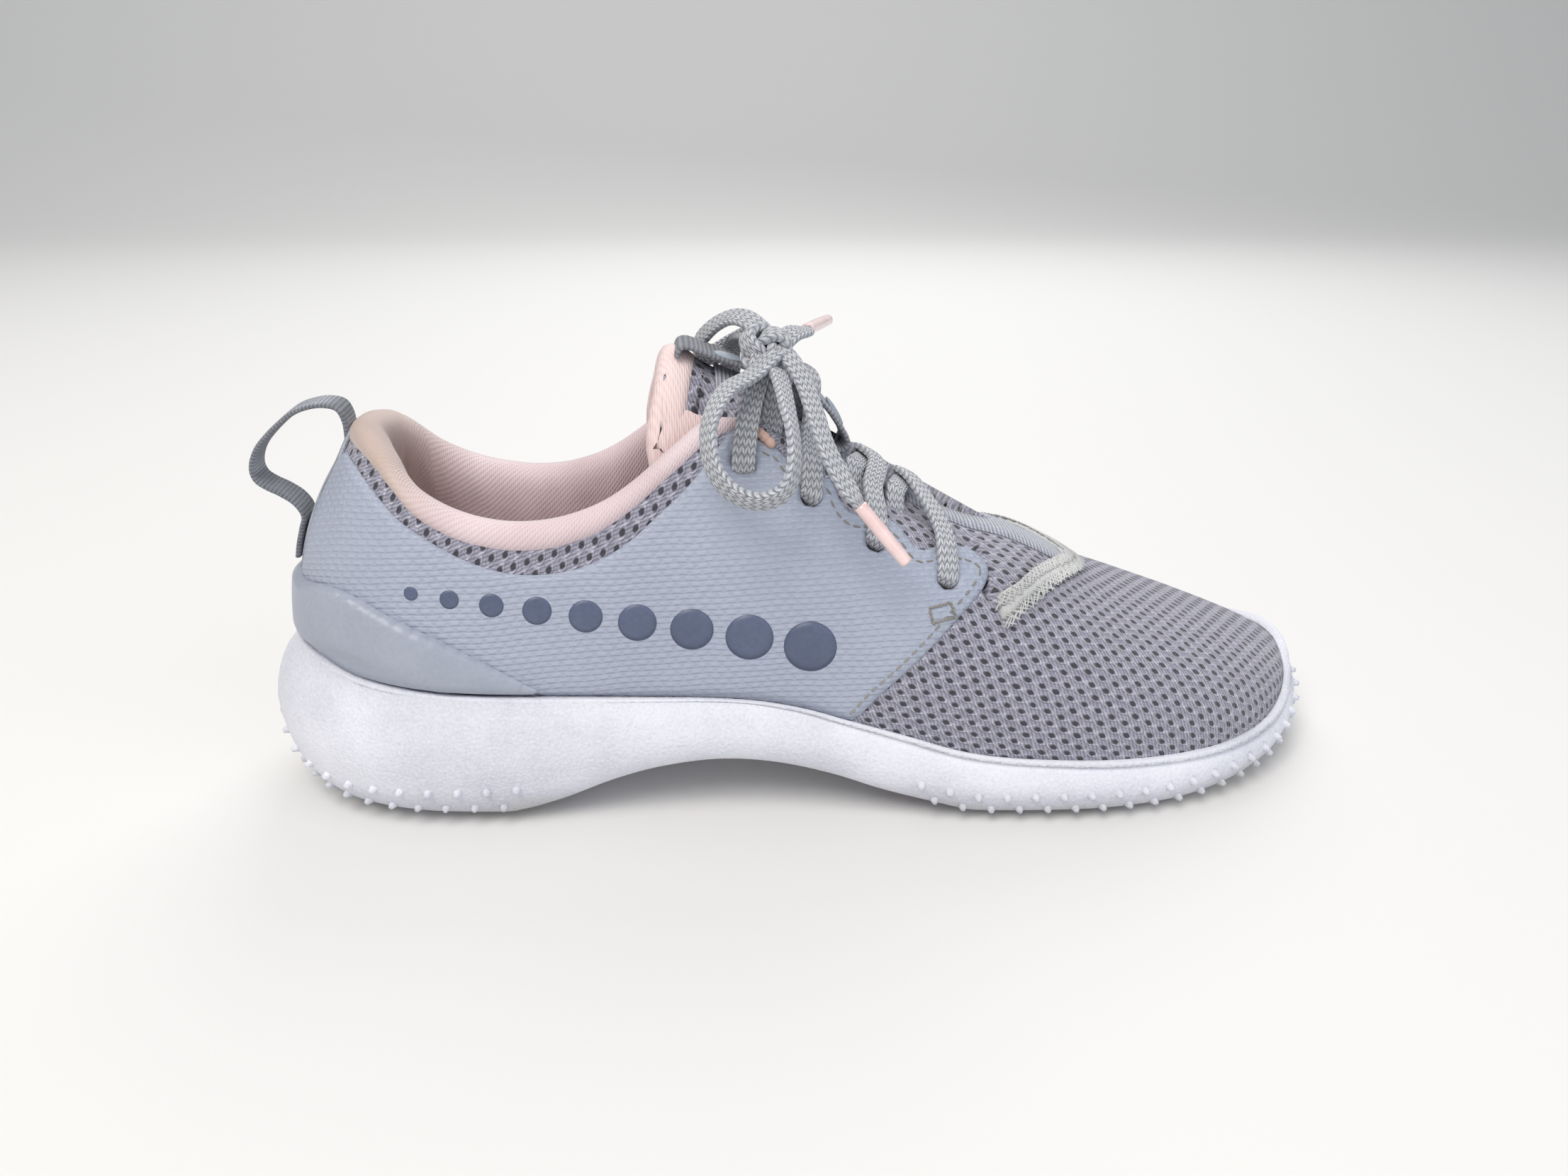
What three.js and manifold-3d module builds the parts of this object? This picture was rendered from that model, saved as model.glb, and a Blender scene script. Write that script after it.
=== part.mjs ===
// Golf shoe, right foot, low-cut with a laced eyestay.
// Frame: millimetres, +X toward the toe, +Y toward the medial side, +Z up.
import * as THREE from 'three';
import { mergeVertices } from 'three/addons/utils/BufferGeometryUtils.js';
import Module from 'manifold-3d';

const wasm = await Module();
wasm.setup();

// ---------------------------------------------------------------- driving dimensions
const GAP = 0.3;             // air left between neighbouring pieces
const MESH = 1.5;            // spacer-mesh upper
const FILM = 0.8;            // welded film on the quarters
const CLIP = 2.7;            // moulded heel clip
const COUNTER = 1.0;         // heel counter board
const LINING = 1.0;          // lining cloth
const PUFF = 0.8;            // toe puff
const COLLAR_PAD = 8.3;      // whole collar, outer mesh face to lining face
const COLLAR_PAD_FRONT = 4.6;
const LIP_DEPTH = 7.0;       // depth of the lasting pocket below the midsole edge
const BOARD = 1.5;           // lasting board
const SOCK = 3.6;            // sockliner
const SOLE_LIFT = 0.8;       // midsole rim above the floor, the lugs take the weight
const POD_RECESS = 3.2;      // pocket for the rubber pods
const LACE_R = 1.9;          // lace as a round cord
const AGLET_R = 1.6;
const EYELET_R = 3.0;
const LOOP_WIDTH = 10;
const LOOP_THICK = 1.3;
const SKIRT = 8;             // forms run on below the pocket floor before trimming
const RING_STEPS = 44;       // points around the sole plan
const SPINE_HEEL = -100;     // the ridge line that the section curves close on
const SPINE_TOE = 92;
const THROAT_Y = -3;         // centre line of the lacing

// Widest plan of the sole, heel first and along the lateral side.
const SOLE_PLAN = [
  [-138, 0], [-134.5, -16], [-123, -29.5], [-105, -37.5], [-85, -39.5], [-58, -39],
  [-25, -39.5], [10, -44], [42, -48.5], [72, -49], [98, -42.5], [118, -30],
  [131.5, -14], [138.5, 3], [139, 15], [133, 27], [119, 38], [98, 44.5],
  [72, 46], [42, 42], [10, 35], [-25, 31.5], [-58, 33.5], [-85, 36.5],
  [-105, 35.5], [-123, 28], [-134.5, 15],
];

// Smooth curve through [x, value] stations, flat beyond both ends.
function profile(stations) {
  const slope = stations.map((s, i) => {
    const a = stations[Math.max(0, i - 1)];
    const b = stations[Math.min(stations.length - 1, i + 1)];
    return i === 0 || i === stations.length - 1 ? 0 : (b[1] - a[1]) / (b[0] - a[0]);
  });
  return (x) => {
    if (x <= stations[0][0]) return stations[0][1];
    const n = stations.length - 1;
    if (x >= stations[n][0]) return stations[n][1];
    let i = 0;
    while (x > stations[i + 1][0]) i += 1;
    const w = stations[i + 1][0] - stations[i][0];
    const u = (x - stations[i][0]) / w;
    const h0 = (1 + 2 * u) * (1 - u) ** 2;
    const h1 = u * (1 - u) ** 2;
    const h2 = u * u * (3 - 2 * u);
    const h3 = u * u * (u - 1);
    return h0 * stations[i][1] + h1 * w * slope[i] + h2 * stations[i + 1][1] + h3 * w * slope[i + 1];
  };
}

const soleTop = profile([
  [-131, 41], [-121, 39], [-110, 36.2], [-89, 34], [-67, 32.5], [-48, 31.6], [-21, 30.2], [-8, 28.3],
  [3, 25.3], [17, 21.5], [30, 17.9], [42, 16.2], [58, 15.2], [85, 14], [108, 13.4], [122, 14.6],
  [132, 17.2], [140, 20],
]);
const soleUnder = profile([
  [-138, 9], [-134, 5], [-128, 2], [-118, 0.3], [-112, 0], [-104, 0], [-84, 0], [-78, 0], [-66, 3], [-53, 8],
  [-42, 11], [-28, 12.8], [-14, 12], [0, 9], [12, 5], [26, 1.6], [34, 0], [42, 0], [72, 0], [86, 0], [100, 0.9],
  [118, 2.6], [130, 4.6], [140, 7],
]);
const crown = profile([
  [-131, 90], [-117, 91], [-112, 95], [-104, 100], [-90, 106], [-73, 111], [-55, 113], [-38, 111],
  [-21.5, 103.5], [-10, 94], [0, 85.5], [10, 79], [20, 73], [35, 65.5], [47, 62], [56, 58],
  [65, 53.2], [74, 48.4], [83, 44.8], [92, 41.2], [102, 37.6], [112, 34.6], [122, 32.4], [139, 30],
]);
const upperInset = profile([[-138, 9], [-100, 7], [-60, 5.6], [0, 4.6], [60, 4.2], [139, 3.6]]);
const squareness = profile([[-131, 2], [-60, 2], [-20, 2.4], [20, 2.4], [60, 2.2], [92, 2.2], [139, 2.4]]);
const spineY = profile([[-100, -0.5], [-60, -2], [-25, -3], [10, -3.5], [42, -2.5], [72, 0], [92, 2.5]]);

const planCurve = new THREE.CatmullRomCurve3(
  SOLE_PLAN.map(([x, y]) => new THREE.Vector3(x, y, 0)), true, 'centripetal');

function smooth(a, b, x) {
  const u = Math.min(1, Math.max(0, (x - a) / (b - a)));
  return u * u * (3 - 2 * u);
}

// Point of the sole plan at t (0..1), moved inward by an inset.
function planPoint(t, inset) {
  const e = 1e-4;
  const p = planCurve.getPoint((t + 1) % 1);
  const a = planCurve.getPoint((t - e + 1) % 1);
  const b = planCurve.getPoint((t + e + 1) % 1);
  const tangent = b.sub(a).normalize();
  return new THREE.Vector2(p.x - tangent.y * inset, p.y + tangent.x * inset);
}

function spinePoint(x) {
  const s = Math.min(SPINE_TOE, Math.max(SPINE_HEEL, x));
  return new THREE.Vector2(s, spineY(s));
}

// Outer face of the mesh upper: t runs round the plan, angle climbs from feather line to ridge.
function lastPoint(t, angle) {
  const x0 = planPoint(t, 0).x;
  const edge = planPoint(t, upperInset(x0));
  const spine = spinePoint(edge.x);
  const power = squareness(edge.x);
  const share = Math.cos(angle) ** (2 / power);
  const x = spine.x + (edge.x - spine.x) * share;
  const y = spine.y + (edge.y - spine.y) * share;
  const base = soleTop(x) - 1;
  return new THREE.Vector3(x, y, base + (crown(x) - base) * Math.sin(angle) ** (2 / power));
}

function offsetPoint(t, angle, offset) {
  const e = 2e-3;
  const lower = Math.max(angle, 2 * e);
  const alongRing = lastPoint(t + e, lower).sub(lastPoint(t - e, lower));
  const upSection = lastPoint(t, lower + e).sub(lastPoint(t, lower - e));
  const normal = new THREE.Vector3().crossVectors(alongRing, upSection).normalize();
  const p = lastPoint(t, angle);
  return p.addScaledVector(normal, typeof offset === 'function' ? offset(p.x) : offset);
}

// ---------------------------------------------------------------- solids
function geometryOf(vertices, triangles) {
  const g = new THREE.BufferGeometry();
  g.setAttribute('position', new THREE.Float32BufferAttribute(vertices, 3));
  g.setIndex(triangles);
  return g;
}

function solid(geometry) {
  const g = geometry.clone();
  g.deleteAttribute('normal');
  g.deleteAttribute('uv');
  const m = mergeVertices(g, 1e-4);
  return new wasm.Manifold(new wasm.Mesh({
    numProp: 3,
    vertProperties: new Float32Array(m.attributes.position.array),
    triVerts: new Uint32Array(m.index.array),
  }));
}

function geometry(manifold) {
  const m = manifold.getMesh();
  return geometryOf(Array.from(m.vertProperties), Array.from(m.triVerts));
}

// Closed body from rings of equal length that start at the heel, each end zipped across its narrow way.
function loft(rings) {
  const count = rings[0].length;
  const vertices = rings.flat().flatMap((p) => [p.x, p.y, p.z]);
  const triangles = [];
  for (let r = 0; r < rings.length - 1; r += 1) {
    for (let i = 0; i < count; i += 1) {
      const a = r * count + i;
      const b = r * count + ((i + 1) % count);
      triangles.push(a, b, b + count, a, b + count, a + count);
    }
  }
  const cap = (ring, start, flip) => {
    const toe = ring.reduce((best, p, i) => (p.x > ring[best].x ? i : best), 0);
    let i = 0;
    let j = count;
    while (i < toe || j > toe) {
      const lateral = j === toe || (i < toe && ring[i + 1].x < ring[j - 1].x);
      const corner = lateral ? [i, i + 1, j % count] : [i, j - 1, j % count];
      if (lateral) i += 1;
      else j -= 1;
      if (new Set(corner).size < 3) continue;
      const [p, q, r] = corner.map((v) => v + start);
      triangles.push(...(flip ? [p, r, q] : [p, q, r]));
    }
  };
  cap(rings[0], 0, true);
  cap(rings[rings.length - 1], (rings.length - 1) * count, false);
  return solid(geometryOf(vertices, triangles));
}

const stations = Array.from({ length: RING_STEPS }, (_, i) => i / RING_STEPS);
const SECTION_ANGLES = [0, 0.24, 0.5, 0.78, 1.04, 1.28, 1.46, 1.53];

// Filled form of the upper at one offset from the mesh face.
function form(offset) {
  const skirt = stations.map((t) => {
    const p = offsetPoint(t, 0, offset);
    return p.setZ(soleTop(p.x) - LIP_DEPTH - SKIRT);
  });
  return loft([skirt, ...SECTION_ANGLES.map((a) => stations.map((t) => offsetPoint(t, a, offset)))]);
}

// Straight prism of a side-view outline of [x, z] corners, across the shoe from y0 to y1.
function sideways(corners, y0 = -90, y1 = 90) {
  const shape = new THREE.Shape(corners.map(([x, z]) => new THREE.Vector2(x, z)));
  const g = new THREE.ExtrudeGeometry(shape, { depth: y1 - y0, bevelEnabled: false });
  g.rotateX(Math.PI / 2);
  g.translate(0, y1, 0);
  return solid(g);
}

// Straight prism of a plan outline of [x, y] corners.
function upright(corners, z0 = -20, z1 = 160) {
  const shape = new THREE.Shape(corners.map(([x, y]) => new THREE.Vector2(x, y)));
  const g = new THREE.ExtrudeGeometry(shape, { depth: z1 - z0, bevelEnabled: false });
  g.translate(0, 0, z0);
  return solid(g);
}

const slab = (x0, x1, y0, y1, z0, z1) => upright([[x0, y0], [x1, y0], [x1, y1], [x0, y1]], z0, z1);
// Plan outline from [x, span] corners, one side then the other of the lacing's centre line.
const mirrored = (half) => [
  ...half.map(([x, span]) => [x, THROAT_Y - span]),
  ...half.filter(([, span]) => span !== 0).reverse().map(([x, span]) => [x, THROAT_Y + span]),
];

// Side view of everything above the midsole edge, raised or lowered by a gap.
function aboveSole(gap) {
  const line = [];
  for (let x = -145; x <= 150; x += 8) line.push([x, soleTop(x) + gap]);
  return sideways([...line, [152, 170], [-150, 170]]);
}

// Collar top line, heel to the top of the eyestay; raised or lowered by dz.
const COLLAR_LINE = [
  [-150, 92.5], [-108, 92], [-104, 89.2], [-100, 84.8], [-96, 80.6], [-91, 77.4], [-85, 74.8], [-79, 73.3],
  [-73, 72.6], [-66, 72.9], [-60, 74.2], [-53, 77], [-46, 81.6], [-40, 86.6], [-35, 90.6], [-31, 93.8],
  [-27, 95.8], [-20, 96.4],
];
const below = (dz) => sideways([
  [-150, -20], ...COLLAR_LINE.map(([x, z]) => [x, z + dz]), [-8, 97 + dz], [-8, 150], [150, 150], [150, -20],
]);

// Plan of the throat: the slot between the eyestays, opening to the U of the cover-stitched seam.
const THROAT = mirrored([
  [68, 0], [65, 7], [59, 16], [50.5, 23.5], [43, 28.6], [37, 29], [34.5, 16], [5, 15.5], [-20, 15],
  [-34, 17], [-70, 24],
]);
const throat = upright(THROAT);

// Layer of the upper between two offsets, standing just above the pocket floor.
const pocketCut = aboveSole(1 - LIP_DEPTH);
const layer = (outer, inner) => form(outer).subtract(form(inner)).intersect(pocketCut);

// ---------------------------------------------------------------- shoe forms
const meshShell = layer(0, -MESH);
const lateralHalf = slab(-160, 160, -90, 0, -20, 160);
const medialHalf = slab(-160, 160, 0, 90, -20, 160);

const EYELETS = [[27.3, 28], [10.1, 26], [-5.3, 23.6], [-20.8, 23.2]];   // [x, span from the centre line]
function heightOn(x, y) {
  const spine = spinePoint(x);
  const side = Math.sign(y - spine.y) || 1;
  let lo = side < 0 ? 0.02 : 0.52;
  let hi = side < 0 ? 0.48 : 0.98;
  for (let k = 0; k < 40; k += 1) {
    const mid = (lo + hi) / 2;
    const edge = planPoint(mid, upperInset(planPoint(mid, 0).x));
    if ((edge.x < x) === (side < 0)) lo = mid;
    else hi = mid;
  }
  const edge = planPoint(lo, upperInset(planPoint(lo, 0).x));
  const share = Math.min(1, Math.abs((y - spine.y) / (edge.y - spine.y)));
  const power = squareness(x);
  const base = soleTop(x) - 1;
  return base + (crown(x) - base) * (1 - share ** power) ** (1 / power);
}
function normalOn(x, y) {
  const e = 0.5;
  const dx = (heightOn(x + e, y) - heightOn(x - e, y)) / (2 * e);
  const dy = (heightOn(x, y + e) - heightOn(x, y - e)) / (2 * e);
  return new THREE.Vector3(-dx, -dy, 1).normalize();
}
function eyeletDrill(x, y) {
  const n = normalOn(x, y);
  const g = new THREE.CylinderGeometry(EYELET_R, EYELET_R, 16, 10);
  g.applyQuaternion(new THREE.Quaternion().setFromUnitVectors(new THREE.Vector3(0, 1, 0), n));
  g.translate(x, y, heightOn(x, y));
  return solid(g);
}
const drills = [-1, 1].flatMap((side) => EYELETS.map(([x, span]) => eyeletDrill(x, THROAT_Y + side * span)));
const drilled = (body) => drills.reduce((left, drill) => left.subtract(drill), body);

// Trimming can leave small offcuts, the largest body is the piece.
function largest(body) {
  return body.decompose().reduce((a, b) => (b.volume() > a.volume() ? b : a));
}

const parts = [];
function piece(name, body, color, roughness = 0.8, metalness = 0) {
  const g = geometry(largest(body));
  g.computeVertexNormals();
  const mesh = new THREE.Mesh(g, new THREE.MeshStandardMaterial({ color, roughness, metalness }));
  mesh.name = name;
  parts.push(mesh);
}

// ---------------------------------------------------------------- sole unit
const SOLE_WALL = [
  // [inset from the widest plan, share of height from underside to top edge]
  [11, 0], [5.5, 0.05], [2.2, 0.17], [0.4, 0.34], [0, 0.52], [1.2, 0.78], [3.4, 1],
];
const wallCurve = profile(SOLE_WALL.map(([inset, share]) => [share, inset]));
const wallInset = (x, inset) => inset * (1 + 0.9 * smooth(-70, -135, x));
const ring = (inset, height) => stations.map((t) => {
  const x0 = planPoint(t, 0).x;
  const p = planPoint(t, wallInset(x0, inset));
  return new THREE.Vector3(p.x, p.y, height(p.x));
});
const underside = (x) => Math.max(0, soleUnder(x)) + SOLE_LIFT;
const pocketFloor = (x) => soleTop(x) - LIP_DEPTH;
const insetRing = (share, inset, height) => stations.map((t) => {
  const edge = planPoint(t, inset(planPoint(t, 0).x));
  const spine = spinePoint(edge.x);
  const x = spine.x + (edge.x - spine.x) * share;
  const y = spine.y + (edge.y - spine.y) * share;
  return new THREE.Vector3(x, y, height(x));
});
const lipInset = (x) => upperInset(x) - GAP;
const midsoleRings = [
  insetRing(0.1, () => 11, underside),
  insetRing(0.5, () => 11, underside),
  ...SOLE_WALL.map(([inset, share]) => ring(inset, (x) => underside(x) + (soleTop(x) - underside(x)) * share)),
  insetRing(1, lipInset, soleTop),
  insetRing(1, lipInset, pocketFloor),
  insetRing(0.5, lipInset, pocketFloor),
  insetRing(0.1, lipInset, pocketFloor),
];
let midsole = loft(midsoleRings);

const FOREFOOT_POD = [
  [18, -30], [34, -37], [58, -39.5], [82, -36], [102, -26], [116, -10], [119, 8], [112, 24], [96, 34],
  [72, 36.5], [46, 32], [26, 24], [16, 8],
];
const HEEL_POD = [
  [-76, -27], [-100, -26], [-115, -18], [-121, 0], [-115, 17], [-100, 24.5], [-76, 25], [-70, 12], [-70, -14],
];
const grown = (corners, amount) => {
  const cx = corners.reduce((sum, c) => sum + c[0], 0) / corners.length;
  const cy = corners.reduce((sum, c) => sum + c[1], 0) / corners.length;
  return corners.map(([x, y]) => {
    const d = Math.hypot(x - cx, y - cy);
    return [cx + (x - cx) * (d + amount) / d, cy + (y - cy) * (d + amount) / d];
  });
};
// Band that follows the underside of the sole between two heights above it.
function underBand(low, high, x0, x1) {
  const line = [];
  for (let x = x0; x <= x1; x += 8) line.push(x);
  return sideways([
    ...line.map((x) => [x, underside(x) + low]),
    ...line.slice().reverse().map((x) => [x, underside(x) + high]),
  ]);
}
midsole = midsole
  .subtract(upright(grown(FOREFOOT_POD, GAP)).intersect(underBand(-8, POD_RECESS, 8, 128)))
  .subtract(upright(grown(HEEL_POD, GAP)).intersect(underBand(-8, POD_RECESS, -128, -60)));

// Small cones standing out of the lower edge of the sole wall, two staggered rows.
function nub(t, height, length) {
  const x0 = planPoint(t, 0).x;
  const wallHeight = soleTop(x0) - underside(x0);
  const share = Math.min(0.5, height / wallHeight);
  const at = wallInset(x0, wallCurve(share));
  const p = planPoint(t, at);
  const outward = p.clone().sub(planPoint(t, at + 2)).normalize();
  const g = new THREE.ConeGeometry(1.1, length + 1.6, 5);
  g.translate(0, (length - 1.6) / 2, 0);
  const aim = new THREE.Vector3(outward.x, outward.y, -0.12).normalize();
  g.applyQuaternion(new THREE.Quaternion().setFromUnitVectors(new THREE.Vector3(0, 1, 0), aim));
  g.translate(p.x, p.y, underside(p.x) + share * wallHeight);
  return solid(g);
}
const NUB_PITCH = 7;
const NUB_LENGTH = 1.5;
const NUB_ROWS = { heel: [8.4, 4.2], forefoot: [6.2, 3] };   // heights above the underside
const planLength = planCurve.getLength();
const nubs = [];
for (let k = 0; k < Math.floor(planLength / NUB_PITCH); k += 1) {
  const t = planCurve.getUtoTmapping(k * NUB_PITCH / planLength);
  const x = planPoint(t, 0).x;
  if (x > -74 && x < 22) continue;
  const half = planCurve.getUtoTmapping((k + 0.5) * NUB_PITCH / planLength);
  const [upperRow, lowerRow] = x < 0 ? NUB_ROWS.heel : NUB_ROWS.forefoot;
  nubs.push(nub(t, upperRow, NUB_LENGTH), nub(half, lowerRow, NUB_LENGTH));
}
midsole = nubs.reduce((body, cone) => body.add(cone), midsole);

function pod(outline, x0, x1, lugs) {
  let body = upright(grown(outline, 0)).intersect(underBand(-0.1, POD_RECESS - GAP, x0, x1));
  lugs.forEach(([x, y, r]) => {
    const g = new THREE.CylinderGeometry(r, r * 0.72, 3.4, 6);
    g.rotateX(Math.PI / 2);
    g.translate(x, y, underside(x) - SOLE_LIFT + 1.7);
    body = body.add(solid(g));
  });
  return body;
}
const forefootLugs = [
  [34, -22, 5], [34, 0, 5], [50, -29, 5], [50, -10, 5.5], [50, 11, 5.5], [50, 24, 4], [68, -26, 5.5], [68, -4, 5.5],
  [68, 20, 5.5], [86, -20, 5], [86, 2, 5.5], [86, 22, 5], [102, -8, 4.5], [102, 12, 4.5],
];
const heelLugs = [[-82, -17, 5], [-82, 4, 5], [-84, 17, 4], [-98, -12, 5], [-98, 10, 5], [-111, 0, 4.5]];

piece('midsole', midsole, '#e9edf1', 0.62);
piece('outsole_forefoot_pod', pod(FOREFOOT_POD, 8, 128, forefootLugs), '#e58f86', 0.6);
piece('outsole_heel_pod', pod(HEEL_POD, -128, -60, heelLugs), '#e58f86', 0.6);

// Flat board and sockliner that follow the pocket floor inside the upper.
const boardInset = (x) => upperInset(x) + 9.4 - 4.6 * smooth(-12, 14, x);
function plate(low, high) {
  const shares = [0.1, 0.5, 1];
  return loft([
    ...shares.map((share) => insetRing(share, boardInset, (x) => pocketFloor(x) + low)),
    ...shares.reverse().map((share) => insetRing(share, boardInset, (x) => pocketFloor(x) + high)),
  ]);
}
const BOARD_LIFT = 1.0;      // clears the facets of the pocket floor
const SOCK_LIFT = BOARD_LIFT + BOARD + 2 * GAP;
piece('lasting_board', plate(BOARD_LIFT, BOARD_LIFT + BOARD), '#cfcabd', 0.9);
piece('sockliner', plate(SOCK_LIFT, SOCK_LIFT + SOCK), '#d9c4bd', 0.95);

// ---------------------------------------------------------------- upper
const upperCut = meshShell.intersect(below(0)).subtract(throat);
const openMesh = drilled(upperCut);
piece('vamp_mesh', openMesh.intersect(slab(2, 170, -90, 90, -20, 160)), '#9a98a5', 0.95);
piece('collar_mesh', openMesh.intersect(slab(-170, 2 - GAP, -90, 90, -20, 160)), '#9a98a5', 0.95);

const CLIP_TOP = [
  [-150, 55.5], [-128, 56.5], [-120, 58], [-113, 57.4], [-106, 54.6], [-99, 51.4], [-92, 48], [-85, 44],
  [-78, 39.8], [-71, 35.4], [-66, 32],
];
const clipZone = (dz) => sideways([...CLIP_TOP.map(([x, z]) => [x, z + dz]), [-66, -20], [-150, -20]]);
const clipShell = layer((x) => GAP + CLIP - 1.6 * smooth(-100, -66, x), GAP);
piece('heel_clip', clipShell.intersect(clipZone(0)).intersect(aboveSole(GAP)), '#a7b1bc', 0.45);

// Side view of the quarter film, behind the heel clip and up to the scalloped eyestay.
const FILM_EDGE = [
  [-150, 10], [-150, 76], [-126, 78], [-113, 86.5], [-109, 84], [-103.7, 79], [-99, 74.6], [-92.6, 70.4], [-86.5, 66.9],
  [-80, 64.3], [-73.8, 62.7], [-67, 62.4], [-60.5, 63.3], [-53.8, 65.6], [-47, 69.9], [-40, 76], [-33.4, 82],
  [-26.4, 90], [-22.5, 93.6], [-15.5, 90.6], [-11.8, 88.6], [-8, 83.8], [-4.6, 82.6], [0.8, 80.6],
  [2.4, 76.6], [4.6, 73.9], [12.5, 72.2], [16.4, 70.2], [19, 67.2], [21, 64.8], [26.5, 64.6], [33, 63.4], [37, 61.6],
  [38.9, 59.4], [37.8, 56.8], [29.3, 50.2], [22.6, 44], [16, 37.5], [10, 31.6], [4.9, 25.2], [1, 10],
];
const filmShell = layer(GAP + FILM, GAP);
const film = drilled(filmShell.intersect(sideways(FILM_EDGE)).intersect(aboveSole(GAP)).subtract(clipZone(GAP)));
const TAPE_HALF = 6;
const tapeRoom = slab(-170, -100, -TAPE_HALF - GAP, TAPE_HALF + GAP, -20, 160);
piece('quarter_film_lateral', film.subtract(tapeRoom).intersect(lateralHalf), '#a9b3bd', 0.5);
piece('quarter_film_medial', film.subtract(tapeRoom).intersect(medialHalf), '#a9b3bd', 0.5);

// Heel tape up the back seam, between clip and collar.
const heelTape = layer(GAP + 0.9, GAP).intersect(below(-0.5))
  .intersect(slab(-150, -104, -TAPE_HALF, TAPE_HALF, 0, 160)).subtract(clipZone(GAP));
piece('heel_tape', heelTape, '#9fa3ad', 0.8);

const collarPad = (x) => -(COLLAR_PAD - (COLLAR_PAD - COLLAR_PAD_FRONT) * smooth(-58, -28, x));
const rear = slab(-170, -30, -90, 90, -20, 160);
piece('heel_counter', layer(-MESH - GAP, -MESH - GAP - COUNTER)
  .intersect(clipZone(-3)).intersect(slab(-170, -78, -90, 90, -20, 160)), '#d8d3c4', 0.7);

const padShell = layer(-MESH - COUNTER - 2 * GAP, (x) => collarPad(x) + LINING + GAP);
const HEEL_HALF = sideways([[-170, 46], [-30, 46], [-30, 160], [-170, 160]]);
piece('collar_foam', padShell.intersect(below(-2.2)).intersect(rear).intersect(HEEL_HALF)
  .subtract(throat), '#e8e2da', 0.95);
const liningBlock = layer(-MESH - GAP, collarPad).intersect(below(1.2)).intersect(rear);
const liningHollow = form(0.5).subtract(form((x) => collarPad(x) + LINING)).intersect(below(-1.2));
piece('collar_lining', liningBlock.subtract(liningHollow).subtract(throat), '#e3c6c2', 0.9);

piece('toe_puff', layer(-MESH - GAP, -MESH - GAP - PUFF)
  .intersect(slab(100, 170, -90, 90, -20, 160)), '#d8d3c4', 0.7);
const LINING_SLOT = mirrored([
  [74, 0], [70, 12], [62, 22], [50, 29], [36, 32], [5, 29.5], [-23, 28], [-80, 28],
]);
const vampLining = layer(-MESH - 2 * GAP - PUFF, -MESH - 2 * GAP - PUFF - LINING)
  .intersect(slab(-29.4, 170, -90, 90, -20, 160)).subtract(upright(LINING_SLOT)).intersect(below(-2));
piece('vamp_lining', vampLining, '#c9b9bb', 0.9);

// Cover-stitched seam that joins tongue gusset and vamp in a U.
const SEAM_OUTER = [[71.5, 0], [69.5, 6], [62.5, 15.5], [53, 25], [44.5, 31.4], [40, 34]];
const SEAM_INNER = [[40, 29], [46.5, 25], [54, 17], [60, 9.5], [64, 3], [65, 0]];
const seamPlan = mirrored([...SEAM_OUTER, ...SEAM_INNER]);
piece('throat_seam', layer(GAP + 0.7, GAP).intersect(upright(seamPlan))
  .intersect(sideways([[39.5, 40], [39.5, 90], [90, 90], [90, 40]])), '#c3c4c8', 0.8);

// ---------------------------------------------------------------- tongue
const tongueCrown = profile([
  [-48, 113], [-43, 112.5], [-36, 109.6], [-30, 106], [-20, 99.6], [-10, 92.6], [0, 85], [10, 78.4], [20, 72.6],
  [30, 67.5],
]);
const tongueDrop = profile([[-48, 92], [-30, 90], [-22, 62], [-10, 30], [20, 20]]);

// Face of the tongue: free of the last behind the throat, just under the vamp ahead of it.
function tongueFace(x, y) {
  const span = Math.min(28, Math.abs(y - THROAT_Y));
  const free = tongueCrown(x) - tongueDrop(x) * (span / 30) ** 2.2;
  const tuck = (1 - smooth(36.5, 39.5, x)) * smooth(10.5, 15, span);
  const depth = 3.7 + 2.6 * smooth(4, -14, x);
  const held = heightOn(x, THROAT_Y + Math.sign(y - THROAT_Y) * span) - 0.7 - depth * tuck;
  const share = smooth(-27, -14, x);
  return free * (1 - share) + held * share;
}
const TONGUE_PLAN = mirrored([
  [65.5, 0], [62.6, 6.5], [57, 14.6], [49, 22], [42, 26.8], [38.2, 26.8], [30, 24.5], [0, 24.5],
  [-12, 22.5], [-24, 18.5], [-42, 17], [-39.4, 10], [-37, 0],
]);
const TONGUE_BOX = { x0: -46, x1: 68, y0: -31, y1: 26, nx: 15, ny: 9 };
// Height-field layer under the tongue face, between two depths.
function tongueLayer(high, low) {
  const { x0, x1, y0, y1, nx, ny } = TONGUE_BOX;
  const rows = [];
  for (let i = 0; i <= nx; i += 1) {
    const x = x0 + ((x1 - x0) * i) / nx;
    const across = Array.from({ length: ny + 1 }, (_, j) => y0 + ((y1 - y0) * j) / ny);
    const top = across.map((y) => new THREE.Vector3(x, y, tongueFace(x, y) - high));
    const bottom = across.map((y) => new THREE.Vector3(x, y, tongueFace(x, y) - low)).reverse();
    rows.push([...top, ...bottom]);
  }
  return sweep(rows).intersect(upright(TONGUE_PLAN));
}
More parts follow.
